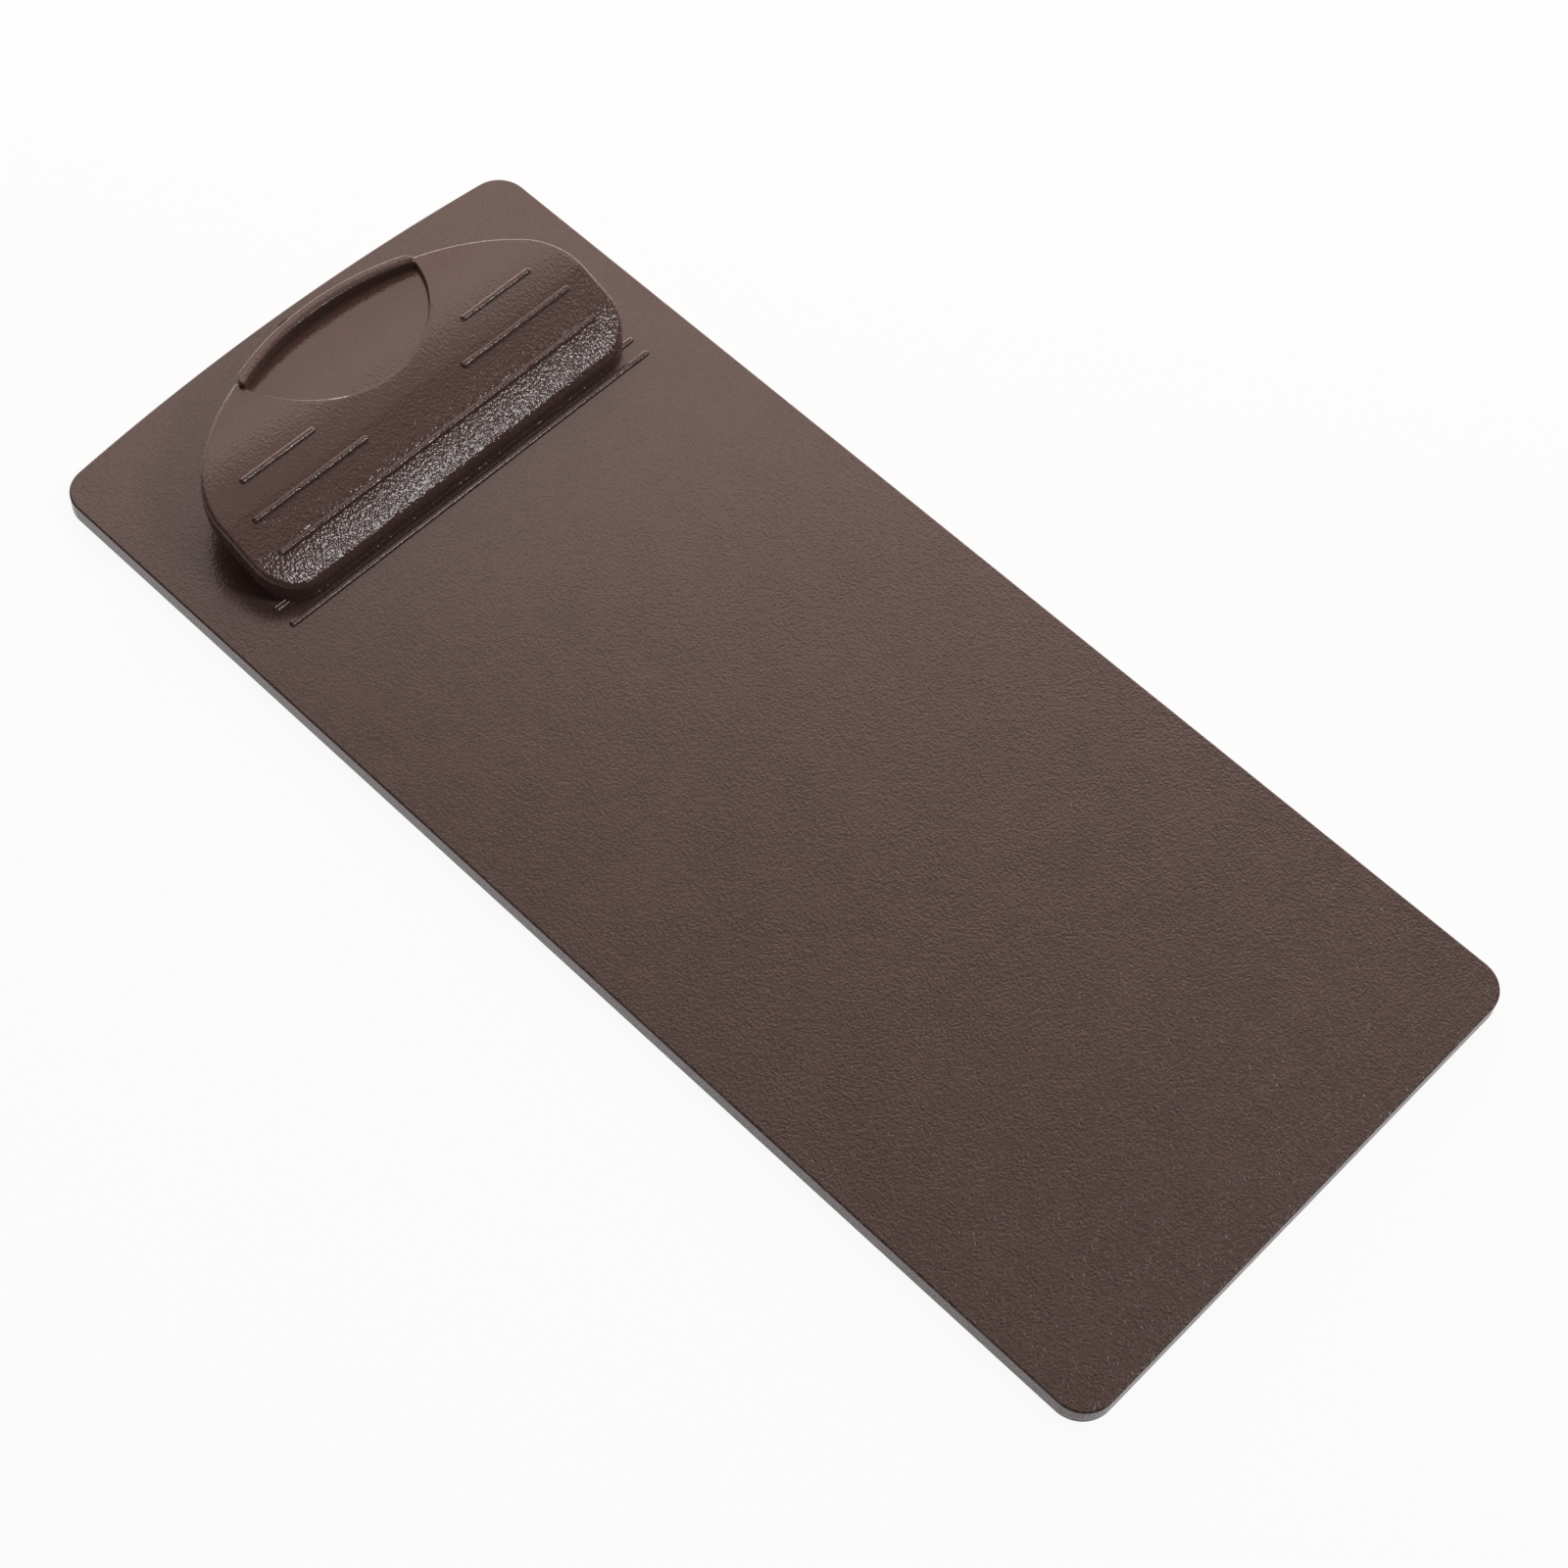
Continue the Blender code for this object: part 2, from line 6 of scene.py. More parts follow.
import bmesh
import bpy
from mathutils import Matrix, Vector


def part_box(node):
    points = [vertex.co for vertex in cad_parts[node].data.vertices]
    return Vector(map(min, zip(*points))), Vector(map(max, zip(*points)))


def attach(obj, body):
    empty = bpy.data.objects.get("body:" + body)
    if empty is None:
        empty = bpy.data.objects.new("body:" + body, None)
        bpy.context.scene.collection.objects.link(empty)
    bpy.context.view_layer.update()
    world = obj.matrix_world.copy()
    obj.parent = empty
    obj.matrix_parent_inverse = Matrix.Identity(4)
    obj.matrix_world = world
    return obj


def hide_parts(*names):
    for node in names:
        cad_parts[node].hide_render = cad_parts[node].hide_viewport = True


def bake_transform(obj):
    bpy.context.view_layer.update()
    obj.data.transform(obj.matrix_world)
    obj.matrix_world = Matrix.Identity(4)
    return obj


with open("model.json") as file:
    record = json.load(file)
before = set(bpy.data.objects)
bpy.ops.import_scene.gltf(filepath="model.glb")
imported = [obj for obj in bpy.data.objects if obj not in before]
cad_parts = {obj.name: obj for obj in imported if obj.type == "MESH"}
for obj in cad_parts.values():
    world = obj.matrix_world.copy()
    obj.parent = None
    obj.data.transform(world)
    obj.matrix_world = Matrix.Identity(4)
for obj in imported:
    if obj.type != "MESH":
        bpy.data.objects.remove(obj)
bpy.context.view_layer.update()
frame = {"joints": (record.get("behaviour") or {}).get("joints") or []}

# Places read from the frame
BOARD_LOW, BOARD_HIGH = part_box("board")
LEVER_LOW, LEVER_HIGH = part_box("clip_lever")
PLATE_LOW, PLATE_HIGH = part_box("hinge_bracket")
RIVET_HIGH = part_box("rivet_left")[1]
PIN_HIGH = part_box("hinge_pin")[1]
PIVOT = Vector(frame["joints"][0]["pos_m"])

# Mesh work: gap to merge, crease in degrees, weight of flat faces, share of a radius that is slack
MERGE_GAP = 2e-6
CREASE_ANGLE = 32
FLAT_WEIGHT = 80
SLACK = 0.01

# Turned pieces: steps round them, steps over a domed end and the small flat at its pole
TURNED_STEPS = 48
CAP_STEPS = 8
POLE = 0.00005

# Board
BOARD_HALF_WIDTH = BOARD_HIGH.x
BOARD_TOP = 0.0038
BOARD_CORNER = 0.0055
BOARD_CORNER_STEPS = 16
BOARD_EDGE_ROUND = 0.00035
BOARD_EDGE_STEPS = 6
TOP_EDGE_BOW = 0.0029
TOP_EDGE_STEPS = 48
HANG_HOLE_RADIUS = 0.0045
HANG_HOLE_EDGE_WALL = 0.0020
HOLE_STEPS = 72
HOLE_EDGE_ROUND = 0.0004
HOLE_EDGE_STEPS = 5
COUNTERBORE_RADIUS = 0.0035
COUNTERBORE_DEPTH = 0.0015
RIVET_BORE_RADIUS = 0.0018

# Raised ribs, on the board and on the lever alike
RIB_WIDTH = 0.0013
RIB_HEIGHT = 0.0005
RIB_RADIUS = (RIB_WIDTH**2 / 4 + RIB_HEIGHT**2) / (2 * RIB_HEIGHT)
RIB_SEGMENTS = 32
RIB_RINGS = 16
BOARD_RIB_PAST_LEVER = 0.0004
FRONT_RIB_AHEAD_OF_JAW = 0.0015
REAR_RIB_BEHIND_JAW = 0.0023

# Lever: its plan, its arch, its walls and its rounded rim
JAW_Y = LEVER_LOW.y
JAW_Z = LEVER_LOW.z
LEVER_REAR_Y = LEVER_HIGH.y
LEVER_HALF_WIDTH = LEVER_HIGH.x
SIDE_END_BEHIND_JAW = 0.0137
SHOULDER_RADIUS = 0.015
SHOULDER_STEPS = 24
REAR_STEPS = 59
FRONT_CORNER = 0.0075
FRONT_CORNER_STEPS = 20
LEVER_HEIGHT = 0.0115
CROWN_FROM_REAR = 0.0136
CROWN_COLUMNS = 24
JAW_FACE_HEIGHT = 0.0033
SKIRT_DEPTH = 0.0040
LEVER_SKIN = 0.0022
SIDE_WALL = 0.0018
JAW_WALL = 0.0012
RIM_ROUND = 0.0008
JAW_ROUND = 0.0009
RIM_STEPS = 8
INNER_FILLET = 0.0006
SKIRT_EDGE_ROUND = 0.0003
FILLET_STEPS = 3
JAW_LEDGE = 0.0001

# Grip ribs on the lever: distance behind the jaw, inner end and outer end from the middle
GRIP_ROWS = (
    (0.0061, 0.0000, 0.0353),
    (0.0123, 0.0104, 0.0350),
    (0.0186, 0.0162, 0.0321),
)

# Thumb lip: a log whose sides lean by some degrees, and whose rear corners are drawn in
LIP_LENGTH = 0.0407
LIP_WIDTH = 0.00205
LIP_SETBACK = 0.0002
LIP_TOP_Z = 0.0153
LIP_FOLLOWS_ARCH = 0.3
LIP_ROOT = 0.0015
LIP_END_ROUND = 0.0004
LIP_END_STEPS = 5
LIP_CORNER_LENGTH = 0.0017
LIP_CORNER_SHARE = 0.52
LIP_CORNER_POWER = 1.6
LIP_CORNER_STEPS = 8
LIP_STRAIGHT_STEPS = 24
LIP_FRONT_ROUND = 0.00035
LIP_REAR_ROUND = 0.0005
LIP_ROUND_STEPS = 6
LIP_TOP_STEPS = 8
LIP_LEAN_FRONT = 25
LIP_LEAN_REAR = 8

# Thumb dish: deepest at the lip, and softer and shallower in front
DISH_RADIUS = 0.0194
DISH_CENTRE_FROM_REAR = 0.0014
DISH_DEPTH = 0.0010
DISH_FRONT_DEPTH = 0.0001
DISH_DEPTH_POWER = 1.2
DISH_SLOPE = 0.0010
DISH_FRONT_SLOPE = 0.0009
DISH_FRONT_POWER = 6
DISH_CREASE = 0.04
DISH_STEPS = 144
DISH_SLOPE_STEPS = 10
DISH_RINGS = (0.85, 0.7, 0.55, 0.4, 0.25, 0.1)

# Lugs under the lever
LUG_RADIUS = 0.0026
LUG_INNER_X = 0.0214
LUG_OUTER_X = 0.0254
LUG_STEPS = 64
PIN_BORE_RADIUS = 0.0012

# Hinge bracket: a strip bent up at its ends
BRACKET_SHEET = 0.0010
BRACKET_BEND = 0.0014
BRACKET_CORNER = 0.0015
BRACKET_EDGE = 0.00012
BRACKET_BEND_STEPS = 8
EAR_RADIUS = 0.0025

# Rivets, set with a domed head and a rolled foot
RIVET_X = 0.0060
RIVET_RADIUS = 0.0015
RIVET_HEAD_RADIUS = 0.0026
RIVET_HEAD_LOW = 0.0054
RIVET_HEAD_EDGE = 0.0002
RIVET_HEAD_EDGE_END = 45
RIVET_HEAD_EDGE_STEPS = 6
RIVET_FOOT_RADIUS = 0.0032
RIVET_FOOT_LOW = 0.0002
RIVET_FOOT_HIGH = 0.0012
RIVET_FOOT_STEPS = 12
RIVET_DIMPLE_RADIUS = 0.0014
RIVET_DIMPLE_DEPTH = 0.0005

# Hinge pin, with a formed head at each end
PIN_RADIUS = 0.0011
PIN_HEAD_RADIUS = 0.0020
PIN_HEAD_THICKNESS = 0.0010
PIN_HEAD_EDGE = 0.0003
PIN_HEAD_EDGE_END = 60
PIN_HEAD_EDGE_STEPS = 5

# Torsion springs, with the shares of the wire's radius that break its ends
SPRING_WIRE = 0.0008
SPRING_WIRE_STEPS = 14
SPRING_COIL_RADIUS = 0.0020
SPRING_FIRST_X = 0.0129
SPRING_LAST_X = 0.0192
SPRING_CURLS = 4.5
SPRING_CURL_STEPS = 28
SPRING_LOWER_END = (0.09015, 0.0058)
SPRING_UPPER_Y = 0.09345
SPRING_UPPER_GAP = 0.0003
SPRING_TIP_SHARE = 0.7
SPRING_TIP_SETBACK = 0.3
SPRING_CREASE_ANGLE = 50

# Places that follow
CROWN_Y = LEVER_REAR_Y - CROWN_FROM_REAR
CROWN_DROP = LEVER_HEIGHT - JAW_FACE_HEIGHT
CROWN_RADIUS = ((CROWN_Y - JAW_Y) ** 2 + CROWN_DROP**2) / (2 * CROWN_DROP)
CROWN_Z = BOARD_TOP + LEVER_HEIGHT - CROWN_RADIUS
SHOULDER_X = LEVER_HALF_WIDTH - SHOULDER_RADIUS
SHOULDER_Y = JAW_Y + SIDE_END_BEHIND_JAW
REAR_REACH = LEVER_REAR_Y - SHOULDER_Y
REAR_PAST_SHOULDER = REAR_REACH - SHOULDER_RADIUS
REAR_RADIUS = (SHOULDER_X**2 + REAR_REACH**2 - SHOULDER_RADIUS**2) / (2 * REAR_PAST_SHOULDER)
REAR_CENTRE = LEVER_REAR_Y - REAR_RADIUS
DISH_CENTRE_Y = LEVER_REAR_Y - DISH_CENTRE_FROM_REAR

# Camera, as fitted to the photograph's corners of the board
CAMERA_PLACE = (-0.20413, -0.17324, 0.43550)
CAMERA_TURN = (30.667, -2.916, -45.934)
CAMERA_LENS = 73.38
CAMERA_SENSOR = 36

# Noises: scale, detail and roughness
CLOUD_NOISE = (140, 6, 0.65)
SPECKLE_NOISE = (1600, 3, 0.6)
MOTTLE_NOISE = (900, 4, 0.6)
LINE_NOISE = (1, 3, 0.6)

# Both plastics: bend of light, share of grain in the colour, detail of the grain, levels of tones
PLASTIC_IOR = 1.43
GRAIN_SHARE = 0.6
GRAIN_DETAIL = (1, 0.4)
PLASTIC_LEVELS = (0.35, 0.65)

# Board's plastic and lever's plastic, as moulded_plastic takes them
BOARD_SEED = 0.0
BOARD_TONES = ((0.057, 0.036, 0.0315), (0.088, 0.056, 0.049))
BOARD_GRAIN = (2500, 0.00017)
BOARD_WORN = (-0.05, 0.05, 0.27)
BOARD_GLOSS = (0.15, 0.23)
LEVER_SEED = 0.37
LEVER_TONES = ((0.074, 0.0445, 0.0395), (0.090, 0.054, 0.048))
LEVER_GRAIN = (2000, 0.00013)
LEVER_WORN = (0.0755, 0.0855, 0.4)
LEVER_GLOSS = (0.11, 0.18)

# Upright walls of the board: a pale colour painted on them stands in for light reflected from the
# white floor; they are also a little duller than its faces, with fine specks
WALL_PAINTED_SHEEN = (0.14, 0.094, 0.084)
WALL_ROUGHNESS = 0.27
WALL_LEAN = (0.2, 0.5)
SPECKLE_LEVELS = (0.3, 0.6)
SPECKLE_COVER = (0.6, 1)

# Steels: dark tone, bright tone and stretch of the working lines along X, Y and Z
SHEET_STEEL = ((0.50, 0.51, 0.52), (0.64, 0.64, 0.63), (400, 9000, 9000))
RIVET_STEEL = ((0.48, 0.48, 0.49), (0.60, 0.60, 0.60), (2500, 2500, 9000))
PIN_STEEL = ((0.46, 0.46, 0.47), (0.60, 0.60, 0.61), (12000, 500, 500))
SPRING_STEEL = ((0.33, 0.33, 0.35), (0.47, 0.47, 0.48), (14000, 300, 300))
STEEL_LEVELS = (0.3, 0.7)
STEEL_LINES = {"Strength": 0.6, "Distance": 0.00001}
STEEL_GLOSS = (0.24, 0.44)

# Sockets of a mix node: its factor, its two values and its two colours, and what it gives
MIX_FACTOR = 0
MIX_VALUES = (2, 3)
MIX_COLOURS = (6, 7)
MIXED_VALUE = 0
MIXED_COLOUR = 2

# Floor
FLOOR_SIZE = 6
FLOOR_Z = -0.0002
FLOOR_COLOUR = (0.85, 0.85, 0.85, 1)
FLOOR_WHITE_SHARE = 0.93

# Light: a glow in the world round one direction, and the lamps
WHITE = (1.0, 1.0, 1.0)
WARM = (1.0, 0.80, 0.74)
PALE_WARM = (1.0, 0.96, 0.94)
GLOW_TOWARDS = (0.38, 0.20, 0.90)
GLOW_REACH = (0.80, 1.00)
GLOW_STRENGTH = (0.02, 1.15)
LAMP_AIM = (0, 0.03, 0)

# Lamps: name, direction from the aim, distance, width, height, power and tint
LAMPS = (
    ("back_light", (0.684, 0.616, 0.391), 0.33, 0.92, 0.46, 2.4, WARM),
    ("rim_light", (0.736, 0.663, 0.139), 0.50, 0.80, 0.10, 1.5, WARM),
    ("front_light", (0.368, -0.567, 0.737), 1.2, 0.26, 0.26, 4.1, WHITE),
    ("fill_light", (-0.975, -0.085, 0.208), 0.60, 0.50, 0.30, 0.35, PALE_WARM),
)


# Hand tools

def take_up(piece):
    """Make one piece the only selected one, and the active one."""
    bpy.ops.object.select_all(action="DESELECT")
    piece.select_set(True)
    bpy.context.view_layer.objects.active = piece


def lay_loop(name, points):
    """A closed loop of edges through the points."""
    bpy.ops.object.select_all(action="DESELECT")
    bpy.ops.mesh.primitive_circle_add(vertices=len(points), fill_type="NOTHING")
    piece = bpy.context.object
    piece.name = name
    piece.data.name = name
    for vertex, point in zip(piece.data.vertices, points):
        vertex.co = point
    return piece


def pull_loops(piece, loops):
    """Extrude the loop's edges again and again, each time onto the next loop of points."""
    take_up(piece)
    bpy.ops.object.mode_set(mode="EDIT")
    bpy.ops.mesh.select_mode(type="EDGE")
    bpy.ops.mesh.select_all(action="SELECT")
    for points in loops:
        bpy.ops.mesh.extrude_region()
        shape = bmesh.from_edit_mesh(piece.data)
        pulled = [vertex for vertex in shape.verts if vertex.select]
        for vertex, point in zip(pulled, points):
            vertex.co = point
    bmesh.update_edit_mesh(piece.data)


def select_loop(piece, first, count, keep=None):
    """Select the edges among a run of vertices, but only those that keep accepts."""
    bpy.ops.mesh.select_all(action="DESELECT")
    shape = bmesh.from_edit_mesh(piece.data)
    run = range(first, first + count)
    for edge in shape.edges:
        inside = all(vertex.index in run for vertex in edge.verts)
        if inside and (keep is None or keep(edge)):
            edge.select = True
    shape.select_flush_mode()
    bmesh.update_edit_mesh(piece.data)


def close_up(piece):
    """Turn all faces outwards and leave edit mode."""
    bpy.ops.mesh.select_all(action="SELECT")
    bpy.ops.mesh.normals_make_consistent(inside=False)
    bpy.ops.object.mode_set(mode="OBJECT")


def looped_solid(name, loops):
    """A solid through a row of loops, with its first and last loop filled."""
    piece = lay_loop(name, loops[0])
    count = len(loops[0])
    pull_loops(piece, loops[1:])
    for first in (0, count * (len(loops) - 1)):
        select_loop(piece, first, count)
        bpy.ops.mesh.edge_face_add()
    close_up(piece)
    return piece


def turned_solid(name, profile, centre, steps=TURNED_STEPS, along_x=False):
    """A profile of (radius, height) points, turned about the centre's Z or X axis."""
    loops = []
    for radius, height in profile:
        loop = []
        for step in range(steps):
            angle = 2 * math.pi * step / steps
            across, up = radius * math.cos(angle), radius * math.sin(angle)
            offset = (height, across, up) if along_x else (across, up, height)
            loop.append(Vector(centre) + Vector(offset))
        loops.append(loop)
    return looped_solid(name, loops)


def work_with(piece, tool, operation):
    """Join a tool to a piece or cut it out, and use the tool up."""
    take_up(piece)
    modifier = piece.modifiers.new("work", "BOOLEAN")
    modifier.operation = operation
    modifier.solver = "EXACT"
    modifier.object = tool
    bpy.ops.object.modifier_apply(modifier=modifier.name)
    bpy.data.objects.remove(tool)


def clean(piece):
    """Merge what the cuts left doubled, and drop slivers without area."""
    take_up(piece)
    bpy.ops.object.mode_set(mode="EDIT")
    bpy.ops.mesh.select_all(action="SELECT")
    bpy.ops.mesh.remove_doubles(threshold=MERGE_GAP)
    bpy.ops.mesh.dissolve_degenerate(threshold=MERGE_GAP)
    bpy.ops.object.mode_set(mode="OBJECT")


def smooth(piece, angle=CREASE_ANGLE):
    """Smooth shading with crisp creases, weighted so that flat stretches stay flat."""
    take_up(piece)
    bpy.ops.object.shade_smooth_by_angle(angle=math.radians(angle))
    modifier = piece.modifiers.new("even", "WEIGHTED_NORMAL")
    modifier.keep_sharp = True
    modifier.weight = FLAT_WEIGHT
    bpy.ops.object.modifier_apply(modifier=modifier.name)


def arc(centre, radius, start, end, steps):
    """Points on an arc and their outward directions, with angles in degrees from +X."""
    stations = []
    for step in range(steps + 1):
        angle = math.radians(start + (end - start) * step / steps)
        out = Vector((math.cos(angle), math.sin(angle)))
        stations.append((Vector(centre) + radius * out, out))
    return stations


def points_of(stations):
    """The points of an arc, without their directions."""
    return [tuple(point) for point, _ in stations]


def quarter_round(steps):
    """How far a rounded edge is drawn in and how far it has risen, as shares of its radius."""
    shares = []
    for step in range(steps + 1):
        angle = math.pi / 2 * step / steps
        shares.append((1 - math.sin(angle), 1 - math.cos(angle)))
    return shares


def rib(name, left, right, place, lean=0.0):
    """A raised bead along X with round ends, sunk at place until it stands RIB_HEIGHT proud."""
    bpy.ops.object.select_all(action="DESELECT")
    bpy.ops.mesh.primitive_uv_sphere_add(
        segments=RIB_SEGMENTS, ring_count=RIB_RINGS, radius=RIB_RADIUS, rotation=(0, math.pi / 2, 0)
    )
    bead = bpy.context.object
    bead.name = name
    bpy.ops.object.transform_apply(location=False, rotation=True, scale=False)
    stretch = (right - left) / 2 - RIB_RADIUS
    sunk = RIB_HEIGHT - RIB_RADIUS
    y, z = place
    middle = Vector(((left + right) / 2, y - sunk * math.sin(lean), z + sunk * math.cos(lean)))
    for vertex in bead.data.vertices:
        if abs(vertex.co.x) > SLACK * RIB_RADIUS:
            vertex.co.x += math.copysign(stretch, vertex.co.x)
        vertex.co += middle
    return bead


def pin_bore(reach):
    """A cutter for the pin's bore, as far as reach to either side."""
    profile = [(PIN_BORE_RADIUS, -reach), (PIN_BORE_RADIUS, reach)]
    return turned_solid("pin_bore", profile, PIVOT, along_x=True)


def flared_hole(name, radius, low, high, flare, centre):
    """A cutter for a round hole whose edges are rounded over."""
    wide = radius + flare
    rounding = []
    for inset, rise in quarter_round(HOLE_EDGE_STEPS):
        rounding.append((radius + flare * inset, flare * rise))
    profile = [(wide, low - flare)]
    profile += [(reach, low + rise) for reach, rise in rounding]
    profile += [(reach, high - rise) for reach, rise in reversed(rounding)]
    profile.append((wide, high + flare))
    return turned_solid(name, profile, (*centre, 0), HOLE_STEPS)


# Board

def board_plan():
    """The board's outline: rounded corners and a top edge that bows outwards."""
    half = BOARD_HALF_WIDTH
    bow_radius = (half**2 + TOP_EDGE_BOW**2) / (2 * TOP_EDGE_BOW)
    bow_centre = BOARD_HIGH.y - bow_radius
    corner_x = half - BOARD_CORNER
    high_y = bow_centre + math.sqrt((bow_radius - BOARD_CORNER) ** 2 - corner_x**2)
    low_y = BOARD_LOW.y + BOARD_CORNER
    meet = math.degrees(math.atan2(high_y - bow_centre, corner_x))
    plan = arc((corner_x, low_y), BOARD_CORNER, -90, 0, BOARD_CORNER_STEPS)
    plan += arc((corner_x, high_y), BOARD_CORNER, 0, meet, BOARD_CORNER_STEPS)
    plan += arc((0, bow_centre), bow_radius, meet, 180 - meet, TOP_EDGE_STEPS)[1:-1]
    plan += arc((-corner_x, high_y), BOARD_CORNER, 180 - meet, 180, BOARD_CORNER_STEPS)
    plan += arc((-corner_x, low_y), BOARD_CORNER, 180, 270, BOARD_CORNER_STEPS)
    return plan


def board_slab():
    """The plate, with both its edges rounded."""
    plan = board_plan()
    section = []
    for inset, rise in quarter_round(BOARD_EDGE_STEPS):
        section.append((BOARD_EDGE_ROUND * inset, BOARD_EDGE_ROUND * rise))
    section += [(inset, BOARD_TOP - rise) for inset, rise in reversed(section)]
    loops = []
    for inset, height in section:
        loops.append([(*(point - inset * out), height) for point, out in plan])
    return looped_solid("moulded_board", loops)


def counterbore(x):
    """A cutter for a rivet's bore, wide below for its rolled foot."""
    profile = [
        (COUNTERBORE_RADIUS, -BOARD_TOP),
        (COUNTERBORE_RADIUS, COUNTERBORE_DEPTH),
        (RIVET_BORE_RADIUS, COUNTERBORE_DEPTH),
        (RIVET_BORE_RADIUS, 2 * BOARD_TOP),
    ]
    return turned_solid("counterbore", profile, (x, PIVOT.y, 0))


def make_board():
    """The plate with its two cross ribs, its hang hole and its rivet bores."""
    board = board_slab()
    end = LEVER_HALF_WIDTH + BOARD_RIB_PAST_LEVER
    for y in (JAW_Y - FRONT_RIB_AHEAD_OF_JAW, JAW_Y + REAR_RIB_BEHIND_JAW):
        work_with(board, rib("board_rib", -end, end, (y, BOARD_TOP)), "UNION")
    hole_y = BOARD_HIGH.y - HANG_HOLE_EDGE_WALL - HANG_HOLE_RADIUS
    hole = flared_hole("hang_hole", HANG_HOLE_RADIUS, 0, BOARD_TOP, HOLE_EDGE_ROUND, (0, hole_y))
    work_with(board, hole, "DIFFERENCE")
    for x in (-RIVET_X, RIVET_X):
        work_with(board, counterbore(x), "DIFFERENCE")
    smooth(board)
    return board


# Lever

def crown(y):
    """Height of the lever's arched top at y."""
    return CROWN_Z + math.sqrt(CROWN_RADIUS**2 - (y - CROWN_Y) ** 2)


def lean_of(y):
    """Tilt of the arch at y, in radians, positive where it falls towards the jaw."""
    return math.asin((CROWN_Y - y) / CROWN_RADIUS)


def skirt_low(y):
    """Height of the skirt's lower edge, which is level along the jaw."""
    return max(JAW_Z, crown(y) - SKIRT_DEPTH)


def lever_plan():
    """The lever's outline: a straight jaw, rounded shoulders and a bowed rear."""
    corner_x = LEVER_HALF_WIDTH - FRONT_CORNER
    corner_y = JAW_Y + FRONT_CORNER
    meet = math.degrees(math.atan2(SHOULDER_Y - REAR_CENTRE, SHOULDER_X))
    plan = arc((corner_x, corner_y), FRONT_CORNER, -90, 0, FRONT_CORNER_STEPS)
    plan += arc((SHOULDER_X, SHOULDER_Y), SHOULDER_RADIUS, 0, meet, SHOULDER_STEPS)
    plan += arc((0, REAR_CENTRE), REAR_RADIUS, meet, 180 - meet, REAR_STEPS)[1:-1]
    plan += arc((-SHOULDER_X, SHOULDER_Y), SHOULDER_RADIUS, 180 - meet, 180, SHOULDER_STEPS)
    plan += arc((-corner_x, corner_y), FRONT_CORNER, 180, 270, FRONT_CORNER_STEPS)
    return plan


def between(sizes, side):
    """A size that changes from the jaw, where side is 0, to the sides, where it is 1."""
    at_jaw, at_side = sizes
    return at_jaw + (at_side - at_jaw) * side


def lever_loop(plan, inset, surface, lift):
    """A loop drawn in from the outline and lifted off a surface, by pairs of jaw and side sizes."""
    loop = []
    for point, out in plan:
        side = 1 - max(0.0, -out.y) ** 2
        place = point - between(inset, side) * out
        loop.append((place.x, place.y, surface(place.y) + between(lift, side)))
    return loop


def lever_loops(plan):
    """Loops from the ceiling down the inside, round the skirt's edge and up onto the crown."""
    edge = SKIRT_EDGE_ROUND
    loops = []
    for inset, rise in quarter_round(FILLET_STEPS):
        walls = (JAW_WALL + INNER_FILLET * inset, SIDE_WALL + INNER_FILLET * inset)
        ceiling = -LEVER_SKIN - INNER_FILLET * rise
        loops.append(lever_loop(plan, walls, crown, (ceiling, ceiling)))
    loops.append(lever_loop(plan, (JAW_WALL, SIDE_WALL), skirt_low, (edge, edge)))
    loops.append(lever_loop(plan, (JAW_WALL - edge, SIDE_WALL - edge), skirt_low, (0, 0)))
    for inset, rise in quarter_round(FILLET_STEPS):
        outside = (edge * inset - JAW_LEDGE, edge * inset)
        loops.append(lever_loop(plan, outside, skirt_low, (edge * rise, edge * rise)))
    loops.append(lever_loop(plan, (0, 0), skirt_low, (edge + JAW_LEDGE, edge + JAW_LEDGE)))
    for inset, rise in reversed(quarter_round(RIM_STEPS)):
        drop = (-JAW_ROUND * rise, -RIM_ROUND * rise)
        loops.append(lever_loop(plan, (JAW_ROUND * inset, RIM_ROUND * inset), crown, drop))
    top = (JAW_ROUND + INNER_FILLET, RIM_ROUND + INNER_FILLET)
    loops.append(lever_loop(plan, top, crown, (0, 0)))
    return loops


def one_sided(edge):
    """Whether an edge lies wholly to the left or wholly to the right."""
    return edge.verts[0].co.x * edge.verts[1].co.x > 0


def lever_shell():
    """The arched shell in one skin: its loops, with strips across the ceiling and the crown."""
    plan = lever_plan()
    loops = lever_loops(plan)
    shell = lay_loop("moulded_lever", loops[0])
    pull_loops(shell, loops[1:])
    for first in (0, len(plan) * (len(loops) - 1)):
        select_loop(shell, first, len(plan), one_sided)
        bpy.ops.mesh.bridge_edge_loops(number_cuts=CROWN_COLUMNS, interpolation="LINEAR")
    close_up(shell)
    return shell


def dish_stations():
    """Shares of the dish's radius, slope and depth, from outside its edge to its middle."""
    stations = []
    for step in range(DISH_SLOPE_STEPS + 1):
        share = step / DISH_SLOPE_STEPS
        sunk = (1 - math.cos(math.pi * share)) / 2
        stations.append((1.0, 0.5 - share, sunk - DISH_CREASE * (1 - sunk)))
    return stations + [(share, 0.0, 1.0) for share in DISH_RINGS]


def dish_depth(y):
    """Depth of the dish below the arch, which runs out towards the front."""
    front = min(max((DISH_CENTRE_Y - y) / DISH_RADIUS, 0.0), 1.0)
    return DISH_DEPTH + (DISH_FRONT_DEPTH - DISH_DEPTH) * front**DISH_DEPTH_POWER


def dish_slope(angle):
    """Width of the dish's slope at an angle round it, which is lower and softer in front."""
    edge_depth = dish_depth(DISH_CENTRE_Y + DISH_RADIUS * math.sin(angle))
    front = max(0.0, -math.sin(angle)) ** DISH_FRONT_POWER
    return DISH_SLOPE * edge_depth / DISH_DEPTH + DISH_FRONT_SLOPE * front


